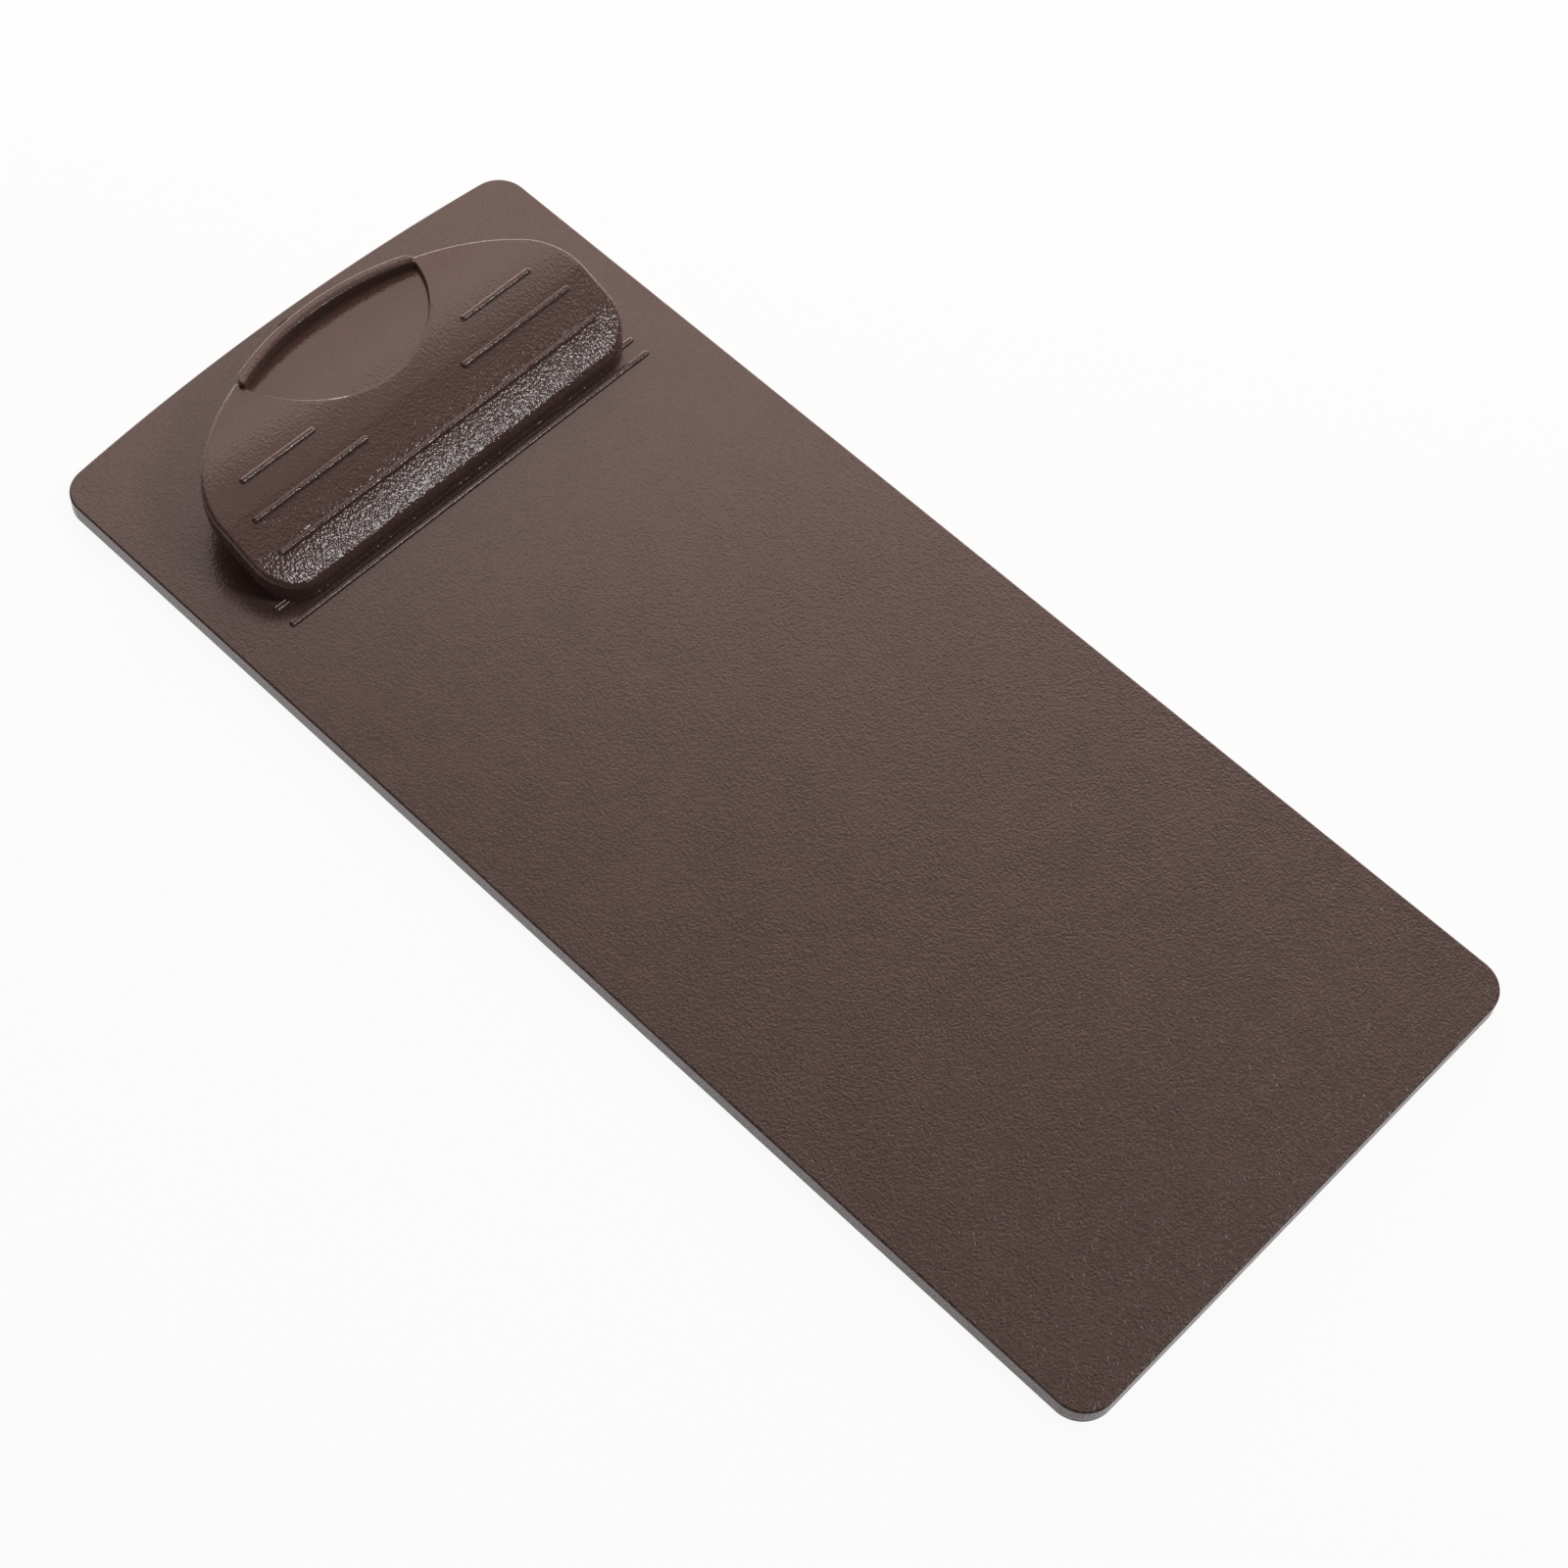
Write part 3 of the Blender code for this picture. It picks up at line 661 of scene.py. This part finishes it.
def dish_cutter():
    """A cutter for the dish, closed well above the lever."""
    loops = []
    for radius_share, slope_share, depth_share in dish_stations():
        loop = []
        for step in range(DISH_STEPS):
            angle = 2 * math.pi * step / DISH_STEPS
            radius = DISH_RADIUS * radius_share + dish_slope(angle) * slope_share
            x = radius * math.cos(angle)
            y = DISH_CENTRE_Y + radius * math.sin(angle)
            loop.append((x, y, crown(y) - dish_depth(y) * depth_share))
        loops.append(loop)
    top = [(x, y, BOARD_TOP + 2 * LEVER_HEIGHT) for x, y, _ in loops[0]]
    return looped_solid("thumb_dish", [top] + loops)


def heading(angle):
    """The direction at an angle, in degrees from +X."""
    return Vector((math.cos(math.radians(angle)), math.sin(math.radians(angle))))


def lip_section():
    """(radius, height) points over the lip. Where the height is None, the arch gives it."""
    rear = REAR_RADIUS - LIP_SETBACK
    reach_rear = math.sin(math.radians(LIP_LEAN_REAR))
    reach_front = math.sin(math.radians(LIP_LEAN_FRONT))
    log = LIP_WIDTH - LIP_REAR_ROUND * (1 - reach_rear) - LIP_FRONT_ROUND * (1 - reach_front)
    log /= reach_rear + reach_front
    middle = rear - LIP_REAR_ROUND - (log - LIP_REAR_ROUND) * reach_rear
    centre = Vector((middle, LIP_TOP_Z - log))
    first, last = 90 + LIP_LEAN_FRONT, 90 - LIP_LEAN_REAR
    front_centre = centre + (log - LIP_FRONT_ROUND) * heading(first)
    rear_centre = centre + (log - LIP_REAR_ROUND) * heading(last)
    section = points_of(arc(front_centre, LIP_FRONT_ROUND, 180, first, LIP_ROUND_STEPS))
    section += points_of(arc(centre, log, first, last, LIP_TOP_STEPS))[1:-1]
    section += points_of(arc(rear_centre, LIP_REAR_ROUND, last, 0, LIP_ROUND_STEPS))
    return [(rear - LIP_WIDTH, None)] + section + [(rear, None)]


def lip_stations():
    """Places along the lip, and how far its section is drawn in there."""
    half = LIP_LENGTH / 2
    stations = []
    for inset, rise in quarter_round(LIP_END_STEPS)[:-1]:
        stations.append((half - LIP_END_ROUND * rise, LIP_END_ROUND * inset))
    for step in range(LIP_CORNER_STEPS):
        gone = (LIP_CORNER_LENGTH - LIP_END_ROUND) * step / LIP_CORNER_STEPS
        stations.append((half - LIP_END_ROUND - gone, 0.0))
    straight = half - LIP_CORNER_LENGTH
    for step in range(LIP_STRAIGHT_STEPS + 1):
        stations.append((straight * (1 - step / LIP_STRAIGHT_STEPS), 0.0))
    return stations + [(-along, drawn_in) for along, drawn_in in reversed(stations[:-1])]


def lip_share(along):
    """Share of the lip's width at a place along it: its rear corners are rounded off."""
    from_end = (LIP_LENGTH / 2 - abs(along)) / LIP_CORNER_LENGTH
    return 1 - LIP_CORNER_SHARE * max(0.0, 1 - from_end) ** LIP_CORNER_POWER


def thumb_lip():
    """A raised curb along the rear rim, with its rear corners rounded off at both ends."""
    section = lip_section()
    front = REAR_RADIUS - LIP_SETBACK - LIP_WIDTH
    middle = front + LIP_WIDTH / 2
    low = crown(REAR_CENTRE + middle)
    loops = []
    for along, drawn_in in lip_stations():
        angle = along / REAR_RADIUS
        lift = LIP_FOLLOWS_ARCH * (crown(REAR_CENTRE + middle * math.cos(angle)) - low)
        near = front + drawn_in
        far = front + lip_share(along) * LIP_WIDTH - drawn_in
        loop = []
        for radius, height in section:
            reach = near + (far - near) * (radius - front) / LIP_WIDTH
            x = reach * math.sin(angle)
            y = REAR_CENTRE + reach * math.cos(angle)
            z = crown(y) - LIP_ROOT if height is None else height + lift - drawn_in
            loop.append((x, y, z))
        loops.append(loop)
    return looped_solid("thumb_lip", loops)


def lug(side):
    """A lug that hangs from the lever's skin and takes the pin."""
    bpy.ops.object.select_all(action="DESELECT")
    middle = side * (LUG_INNER_X + LUG_OUTER_X) / 2
    bpy.ops.mesh.primitive_cylinder_add(
        vertices=LUG_STEPS,
        radius=LUG_RADIUS,
        depth=LUG_OUTER_X - LUG_INNER_X,
        location=(middle, PIVOT.y, PIVOT.z),
        rotation=(0, math.pi / 2, 0),
    )
    piece = bpy.context.object
    piece.name = "lug"
    bpy.ops.object.transform_apply(location=True, rotation=True, scale=False)
    for vertex in piece.data.vertices:
        if vertex.co.z > PIVOT.z + SLACK * LUG_RADIUS:
            vertex.co.z = crown(vertex.co.y) - LEVER_SKIN / 2
    return piece


def make_lever():
    """The shell with its dish, lip, grip ribs and lugs, bored for the pin."""
    lever = lever_shell()
    work_with(lever, dish_cutter(), "DIFFERENCE")
    work_with(lever, thumb_lip(), "UNION")
    for behind_jaw, inner, outer in GRIP_ROWS:
        y = JAW_Y + behind_jaw
        spans = [(inner, outer), (-outer, -inner)] if inner else [(-outer, outer)]
        for left, right in spans:
            work_with(lever, rib("grip_rib", left, right, (y, crown(y)), lean_of(y)), "UNION")
    for side in (-1, 1):
        work_with(lever, lug(side), "UNION")
    work_with(lever, pin_bore(LUG_OUTER_X + BRACKET_SHEET), "DIFFERENCE")
    clean(lever)
    smooth(lever)
    return lever


# Hinge bracket

def bracket_stations():
    """Half the strip, from its middle to an ear's top: outer x and z, lean and half width."""
    half = PLATE_HIGH.x
    low = PLATE_LOW.z
    depth = (PLATE_HIGH.y - PLATE_LOW.y) / 2
    bend_x = half - BRACKET_BEND
    upright = math.pi / 2
    turns = [upright * step / BRACKET_BEND_STEPS for step in range(BRACKET_BEND_STEPS + 1)]
    stations = [(0.0, low, 0.0, depth)]
    for turn in turns:
        x = bend_x - BRACKET_EDGE - BRACKET_CORNER * (1 - math.sin(turn))
        stations.append((x, low, 0.0, depth - BRACKET_CORNER * (1 - math.cos(turn))))
    for turn in turns:
        x = bend_x + BRACKET_BEND * math.sin(turn)
        z = low + BRACKET_BEND * (1 - math.cos(turn))
        stations.append((x, z, turn, EAR_RADIUS))
    for turn in turns[:-1]:
        z = PIVOT.z + EAR_RADIUS * math.sin(turn)
        stations.append((half, z, upright, EAR_RADIUS * math.cos(turn)))
    return stations


def strip_loop(side, x, z, lean, half_width):
    """The strip's section at a station: a flat bar with its edges broken."""
    edge = BRACKET_EDGE
    inner = half_width - edge
    corners = [(-inner, 0), (inner, 0), (half_width, edge), (half_width, BRACKET_SHEET - edge)]
    corners += [(-y, BRACKET_SHEET - depth) for y, depth in corners]
    loop = []
    for y, depth in corners:
        place = (side * (x - depth * math.sin(lean)), PIVOT.y + y, z + depth * math.cos(lean))
        loop.append(place)
    return loop


def make_bracket():
    """The bent strip, bored for the pin and the rivets."""
    stations = bracket_stations()
    loops = [strip_loop(-1, *station) for station in reversed(stations)]
    loops += [strip_loop(1, *station) for station in stations[1:]]
    bracket = looped_solid("pressed_bracket", loops)
    work_with(bracket, pin_bore(2 * PLATE_HIGH.x), "DIFFERENCE")
    low = PLATE_LOW.z
    high = low + BRACKET_SHEET
    for x in (-RIVET_X, RIVET_X):
        bore = flared_hole("plate_bore", RIVET_BORE_RADIUS, low, high, BRACKET_EDGE, (x, PIVOT.y))
        work_with(bracket, bore, "DIFFERENCE")
    smooth(bracket)
    return bracket


# Rivets and pin

def cap_arc(radius, rise, top):
    """A domed end of a turned piece, from its pole out to its radius."""
    dome = (radius**2 + rise**2) / (2 * rise)
    spread = math.degrees(math.asin(radius / dome))
    pole = math.degrees(math.asin(POLE / dome))
    return points_of(arc((0, top - dome), dome, 90 - pole, 90 - spread, CAP_STEPS))


def rivet_profile():
    """(radius, height) from the dimple in the foot to the top of the head."""
    roll = (RIVET_FOOT_HIGH - RIVET_FOOT_LOW) / 2
    foot = (RIVET_FOOT_RADIUS - roll, RIVET_FOOT_LOW + roll)
    edge = RIVET_HEAD_EDGE
    head = (RIVET_HEAD_RADIUS - edge, RIVET_HEAD_LOW + edge)
    head_top = RIVET_HIGH.z
    dome_low = RIVET_HEAD_LOW + 2 * edge
    profile = cap_arc(RIVET_DIMPLE_RADIUS, RIVET_DIMPLE_DEPTH, RIVET_FOOT_LOW + RIVET_DIMPLE_DEPTH)
    profile += points_of(arc(foot, roll, -90, 90, RIVET_FOOT_STEPS))
    profile += [(RIVET_RADIUS, RIVET_FOOT_HIGH), (RIVET_RADIUS, RIVET_HEAD_LOW)]
    profile += points_of(arc(head, edge, -90, RIVET_HEAD_EDGE_END, RIVET_HEAD_EDGE_STEPS))
    profile += reversed(cap_arc(RIVET_HEAD_RADIUS - edge, head_top - dome_low, head_top))
    return profile


def make_rivet(name, x):
    """A rivet as it stands when it has been set."""
    rivet = turned_solid(name, rivet_profile(), (x, PIVOT.y, 0))
    smooth(rivet)
    return rivet


def make_pin():
    """A plain pin whose heads are formed over outside the lugs."""
    outer = PIN_HIGH.x
    inner = outer - PIN_HEAD_THICKNESS
    edge = PIN_HEAD_EDGE
    rim = (PIN_HEAD_RADIUS - edge, outer - 2 * edge)
    half = [(PIN_RADIUS, inner), (PIN_HEAD_RADIUS - edge / 2, inner)]
    half.append((PIN_HEAD_RADIUS, inner + edge / 2))
    half += points_of(arc(rim, edge, 0, PIN_HEAD_EDGE_END, PIN_HEAD_EDGE_STEPS))
    half += reversed(cap_arc(PIN_HEAD_RADIUS - edge, edge, outer))
    profile = [(radius, -along) for radius, along in reversed(half)] + half
    pin = turned_solid("headed_pin", profile, PIVOT, along_x=True)
    smooth(pin)
    return pin


# Springs

def spring_path(side):
    """Centre line: a leg along the bracket, the curls round the pin, a leg up under the lever."""
    steps = round(SPRING_CURLS * SPRING_CURL_STEPS)
    path = [Vector((SPRING_FIRST_X, *SPRING_LOWER_END))]
    for step in range(steps + 1):
        turn = 2 * math.pi * step / SPRING_CURL_STEPS
        path.append(Vector((
            SPRING_FIRST_X + (SPRING_LAST_X - SPRING_FIRST_X) * step / steps,
            PIVOT.y - SPRING_COIL_RADIUS * math.sin(turn),
            PIVOT.z - SPRING_COIL_RADIUS * math.cos(turn),
        )))
    ceiling = crown(SPRING_UPPER_Y) - LEVER_SKIN - SPRING_UPPER_GAP - SPRING_WIRE / 2
    path.append(Vector((SPRING_LAST_X, SPRING_UPPER_Y, ceiling)))
    return [Vector((side * place.x, place.y, place.z)) for place in path]


def wire_ring(place, along, radius):
    """A ring of points square to the wire."""
    across = Vector((1, 0, 0))
    across = (across - across.dot(along) * along).normalized()
    up = along.cross(across)
    turns = [2 * math.pi * step / SPRING_WIRE_STEPS for step in range(SPRING_WIRE_STEPS)]
    return [place + radius * (math.cos(turn) * across + math.sin(turn) * up) for turn in turns]


def make_spring(name, side):
    """A round wire along the centre line, with its ends broken."""
    path = spring_path(side)
    radius = SPRING_WIRE / 2
    tip = SPRING_TIP_SHARE * radius
    setback = SPRING_TIP_SETBACK * radius
    first = (path[1] - path[0]).normalized()
    last = (path[-1] - path[-2]).normalized()
    rings = [wire_ring(path[0], first, tip), wire_ring(path[0] + setback * first, first, radius)]
    for before, place, after in zip(path, path[1:], path[2:]):
        rings.append(wire_ring(place, (after - before).normalized(), radius))
    rings.append(wire_ring(path[-1] - setback * last, last, radius))
    rings.append(wire_ring(path[-1], last, tip))
    spring = looped_solid(name, rings)
    smooth(spring, SPRING_CREASE_ANGLE)
    return spring


# Nodes

def new_material(name):
    """A material with its node tree and its shader."""
    material = bpy.data.materials.new(name)
    material.use_nodes = True
    return material, material.node_tree, material.node_tree.nodes["Principled BSDF"]


def add_node(tree, kind, values=None, **settings):
    """A node with its settings, and with the given values on its inputs."""
    made = tree.nodes.new(kind)
    for name, value in settings.items():
        setattr(made, name, value)
    for socket, value in (values or {}).items():
        made.inputs[socket].default_value = value
    return made


def join(tree, source, output, target, socket):
    """A link from an output of one node to an input of another."""
    tree.links.new(source.outputs[output], target.inputs[socket])


def fed_node(tree, source, output, kind, socket, values=None, **settings):
    """A node with one input fed by an output of another node."""
    made = add_node(tree, kind, values, **settings)
    join(tree, source, output, made, socket)
    return made


def noise(tree, source, output, scale, detail, roughness):
    """Noise at the places that a node gives."""
    values = {"Scale": scale, "Detail": detail, "Roughness": roughness}
    return fed_node(tree, source, output, "ShaderNodeTexNoise", "Vector", values)


def spread(tree, source, output, levels, given, **settings):
    """A node's output, spread from a pair of levels over another pair."""
    values = {"From Min": levels[0], "From Max": levels[1], "To Min": given[0], "To Max": given[1]}
    return fed_node(tree, source, output, "ShaderNodeMapRange", "Value", values, **settings)


def tone_ramp(tree, source, output, levels, tones):
    """A ramp from a dark tone to a bright one, between two levels of a node's output."""
    ramp = fed_node(tree, source, output, "ShaderNodeValToRGB", "Fac")
    for stop, level, tone in zip(ramp.color_ramp.elements, levels, tones):
        stop.position = level
        stop.color = (*tone, 1)
    return ramp


def combine(tree, operation, first, first_output, second, second_output):
    """Two nodes' outputs, put together by a math operation."""
    made = fed_node(tree, first, first_output, "ShaderNodeMath", 0, operation=operation)
    join(tree, second, second_output, made, 1)
    return made


# Materials

def moulded_plastic(name, seed, tones, grain, worn, gloss):
    """Glossy brown plastic with a cloudy colour and a fine leathery grain, rubbed lower in places.

    Tones are the darkest and the brightest, grain is its scale and depth, worn is where along Y the
    grain is whole, where it is lowest and what is left of it, and gloss is the range of roughness.
    """
    material, tree, shader = new_material(name)
    shader.inputs["IOR"].default_value = PLASTIC_IOR
    place = add_node(tree, "ShaderNodeTexCoord")
    moved = {"Location": (seed, seed, 0)}
    shift = fed_node(tree, place, "Object", "ShaderNodeMapping", "Vector", moved)
    clouds = noise(tree, shift, "Vector", *CLOUD_NOISE)
    leather = noise(tree, shift, "Vector", grain[0], *GRAIN_DETAIL)
    blend = add_node(tree, "ShaderNodeMix", {MIX_FACTOR: GRAIN_SHARE})
    join(tree, clouds, "Fac", blend, MIX_VALUES[0])
    join(tree, leather, "Fac", blend, MIX_VALUES[1])
    ramp = tone_ramp(tree, blend, MIXED_VALUE, PLASTIC_LEVELS, tones)
    join(tree, ramp, "Color", shader, "Base Color")
    along = fed_node(tree, place, "Object", "ShaderNodeSeparateXYZ", "Vector")
    left = spread(tree, along, "Y", worn[:2], (1, worn[2]))
    bump = fed_node(tree, leather, "Fac", "ShaderNodeBump", "Height", {"Distance": grain[1]})
    join(tree, left, "Result", bump, "Strength")
    join(tree, bump, "Normal", shader, "Normal")
    shine = spread(tree, clouds, "Fac", (0, 1), gloss)
    join(tree, shine, "Result", shader, "Roughness")
    return material


def painted_sheen_cover(tree):
    """A node that covers upright walls below the board's top face, less so in specks: where the
    painted sheen goes.
    """
    surface = add_node(tree, "ShaderNodeNewGeometry")
    facing = fed_node(tree, surface, "Normal", "ShaderNodeSeparateXYZ", "Vector")
    level = fed_node(tree, facing, "Z", "ShaderNodeMath", 0, operation="ABSOLUTE")
    upright = spread(tree, level, "Value", WALL_LEAN, (1, 0))
    place = add_node(tree, "ShaderNodeTexCoord")
    height = fed_node(tree, place, "Object", "ShaderNodeSeparateXYZ", "Vector")
    below = fed_node(tree, height, "Z", "ShaderNodeMath", 0, {1: BOARD_TOP}, operation="LESS_THAN")
    walls = combine(tree, "MULTIPLY", upright, "Result", below, "Value")
    speckle = noise(tree, place, "Object", *SPECKLE_NOISE)
    share = spread(tree, speckle, "Fac", SPECKLE_LEVELS, SPECKLE_COVER)
    return combine(tree, "MULTIPLY", walls, "Value", share, "Result")


def lay_over(tree, cover, shader, socket, mix, under, mixed):
    """Lead what feeds the shader's socket through a mix that follows the cover."""
    join(tree, cover, "Value", mix, MIX_FACTOR)
    tree.links.new(shader.inputs[socket].links[0].from_socket, mix.inputs[under])
    join(tree, mix, mixed, shader, socket)


def paint_wall_sheen(material):
    """A pale sheen painted on the board's upright walls, standing in for the white floor's
    reflected light, and duller plastic there.
    """
    tree = material.node_tree
    shader = tree.nodes["Principled BSDF"]
    cover = painted_sheen_cover(tree)
    # The pale colour mixed in here is a painted reflection of the white floor, not the plastic's
    # own colour.
    colour = add_node(tree, "ShaderNodeMix", {MIX_COLOURS[1]: (*WALL_PAINTED_SHEEN, 1)}, data_type="RGBA")
    lay_over(tree, cover, shader, "Base Color", colour, MIX_COLOURS[0], MIXED_COLOUR)
    dull = add_node(tree, "ShaderNodeMix", {MIX_VALUES[1]: WALL_ROUGHNESS})
    lay_over(tree, cover, shader, "Roughness", dull, MIX_VALUES[0], MIXED_VALUE)
    return material


def plated_steel(name, dark, bright, stretch):
    """Plated steel with a soft mottle and fine working lines along the low numbers of stretch."""
    material, tree, shader = new_material(name)
    shader.inputs["Metallic"].default_value = 1.0
    place = add_node(tree, "ShaderNodeTexCoord")
    mottle = noise(tree, place, "Object", *MOTTLE_NOISE)
    ramp = tone_ramp(tree, mottle, "Fac", STEEL_LEVELS, (dark, bright))
    join(tree, ramp, "Color", shader, "Base Color")
    drawn = fed_node(tree, place, "Object", "ShaderNodeMapping", "Vector", {"Scale": stretch})
    lines = noise(tree, drawn, "Vector", *LINE_NOISE)
    bump = fed_node(tree, lines, "Fac", "ShaderNodeBump", "Height", STEEL_LINES)
    join(tree, bump, "Normal", shader, "Normal")
    shine = spread(tree, mottle, "Fac", (0, 1), STEEL_GLOSS)
    join(tree, shine, "Result", shader, "Roughness")
    return material


# Stage

def white_sweep():
    """White paper that takes shadows, and is mostly plain white where it is seen or mirrored."""
    material = bpy.data.materials.new("white_sweep")
    material.use_nodes = True
    tree = material.node_tree
    tree.nodes.clear()
    paper = add_node(tree, "ShaderNodeBsdfDiffuse", {"Color": FLOOR_COLOUR})
    glow = add_node(tree, "ShaderNodeEmission", {"Color": (*WHITE, 1), "Strength": 1})
    rays = add_node(tree, "ShaderNodeLightPath")
    either = combine(tree, "MAXIMUM", rays, "Is Camera Ray", rays, "Is Glossy Ray")
    seen = combine(tree, "MAXIMUM", either, "Value", rays, "Is Transmission Ray")
    part = {1: FLOOR_WHITE_SHARE}
    share = fed_node(tree, seen, "Value", "ShaderNodeMath", 0, part, operation="MULTIPLY")
    mix = fed_node(tree, share, "Value", "ShaderNodeMixShader", "Fac")
    join(tree, paper, "BSDF", mix, 1)
    join(tree, glow, "Emission", mix, 2)
    fed_node(tree, mix, "Shader", "ShaderNodeOutputMaterial", "Surface")
    return material


def make_floor():
    """A wide floor just below the board."""
    bpy.ops.object.select_all(action="DESELECT")
    bpy.ops.mesh.primitive_plane_add(size=FLOOR_SIZE, location=(0, 0, FLOOR_Z))
    floor = bpy.context.object
    floor.name = "floor"
    floor.data.materials.append(white_sweep())


def make_world():
    """A dim room with a broad glow overhead, which is plain white where the camera sees it."""
    world = bpy.data.worlds.new("studio")
    bpy.context.scene.world = world
    world.use_nodes = True
    tree = world.node_tree
    tree.nodes.clear()
    place = add_node(tree, "ShaderNodeTexCoord")
    axis = {1: Vector(GLOW_TOWARDS).normalized()}
    towards = fed_node(
        tree, place, "Generated", "ShaderNodeVectorMath", 0, axis, operation="DOT_PRODUCT"
    )
    glow = spread(
        tree, towards, "Value", GLOW_REACH, GLOW_STRENGTH, interpolation_type="SMOOTHSTEP"
    )
    room = fed_node(tree, glow, "Result", "ShaderNodeBackground", "Strength", {"Color": (*WARM, 1)})
    white = add_node(tree, "ShaderNodeBackground", {"Color": (*WHITE, 1), "Strength": 1})
    rays = add_node(tree, "ShaderNodeLightPath")
    mix = fed_node(tree, rays, "Is Camera Ray", "ShaderNodeMixShader", "Fac")
    join(tree, room, "Background", mix, 1)
    join(tree, white, "Background", mix, 2)
    fed_node(tree, mix, "Shader", "ShaderNodeOutputWorld", "Surface")


def softbox(name, towards, distance, width, height, power, tint):
    """A soft area lamp that looks at the aim from a direction."""
    aim = Vector(LAMP_AIM)
    lamp = bpy.data.lights.new(name, "AREA")
    lamp.shape = "RECTANGLE"
    lamp.size = width
    lamp.size_y = height
    lamp.energy = power
    lamp.color = tint
    rig = bpy.data.objects.new(name, lamp)
    rig.location = aim + Vector(towards).normalized() * distance
    rig.rotation_euler = (aim - rig.location).to_track_quat("-Z", "Y").to_euler()
    rig.visible_camera = False
    bpy.context.scene.collection.objects.link(rig)


def make_camera():
    """The photograph's view of the board."""
    data = bpy.data.cameras.new("camera")
    data.lens = CAMERA_LENS
    data.sensor_width = CAMERA_SENSOR
    camera = bpy.data.objects.new("camera", data)
    camera.location = CAMERA_PLACE
    camera.rotation_euler = [math.radians(turn) for turn in CAMERA_TURN]
    bpy.context.scene.collection.objects.link(camera)
    bpy.context.scene.camera = camera


# The whole

def put_on(piece, material, body, node):
    """Give a piece its finish, and let it stand for its node on a body."""
    piece.data.materials.clear()
    piece.data.materials.append(material)
    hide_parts(node)
    if body:
        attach(piece, body)


board_finish = moulded_plastic(
    "board_plastic", BOARD_SEED, BOARD_TONES, BOARD_GRAIN, BOARD_WORN, BOARD_GLOSS
)
# The board's walls get a painted pale sheen, standing in for the white floor's reflected light.
put_on(make_board(), paint_wall_sheen(board_finish), "board", "board")
lever_finish = moulded_plastic(
    "lever_plastic", LEVER_SEED, LEVER_TONES, LEVER_GRAIN, LEVER_WORN, LEVER_GLOSS
)
put_on(make_lever(), lever_finish, "lever", "clip_lever")
sheet_finish = plated_steel("zinc_plated_sheet", *SHEET_STEEL)
put_on(make_bracket(), sheet_finish, "board", "hinge_bracket")
rivet_finish = plated_steel("set_rivet_steel", *RIVET_STEEL)
for name, side in (("rivet_left", -1), ("rivet_right", 1)):
    rivet = make_rivet("set_" + name, side * RIVET_X)
    put_on(rivet, rivet_finish, "board", name)
pin_finish = plated_steel("turned_pin_steel", *PIN_STEEL)
put_on(make_pin(), pin_finish, "board", "hinge_pin")
spring_finish = plated_steel("drawn_wire_steel", *SPRING_STEEL)
for name, side in (("spring_left", -1), ("spring_right", 1)):
    spring = make_spring("wound_" + name, side)
    put_on(spring, spring_finish, None, name)
    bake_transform(spring)

make_floor()
make_world()
for lamp in LAMPS:
    softbox(*lamp)
make_camera()
bpy.context.scene.view_settings.view_transform = "Standard"
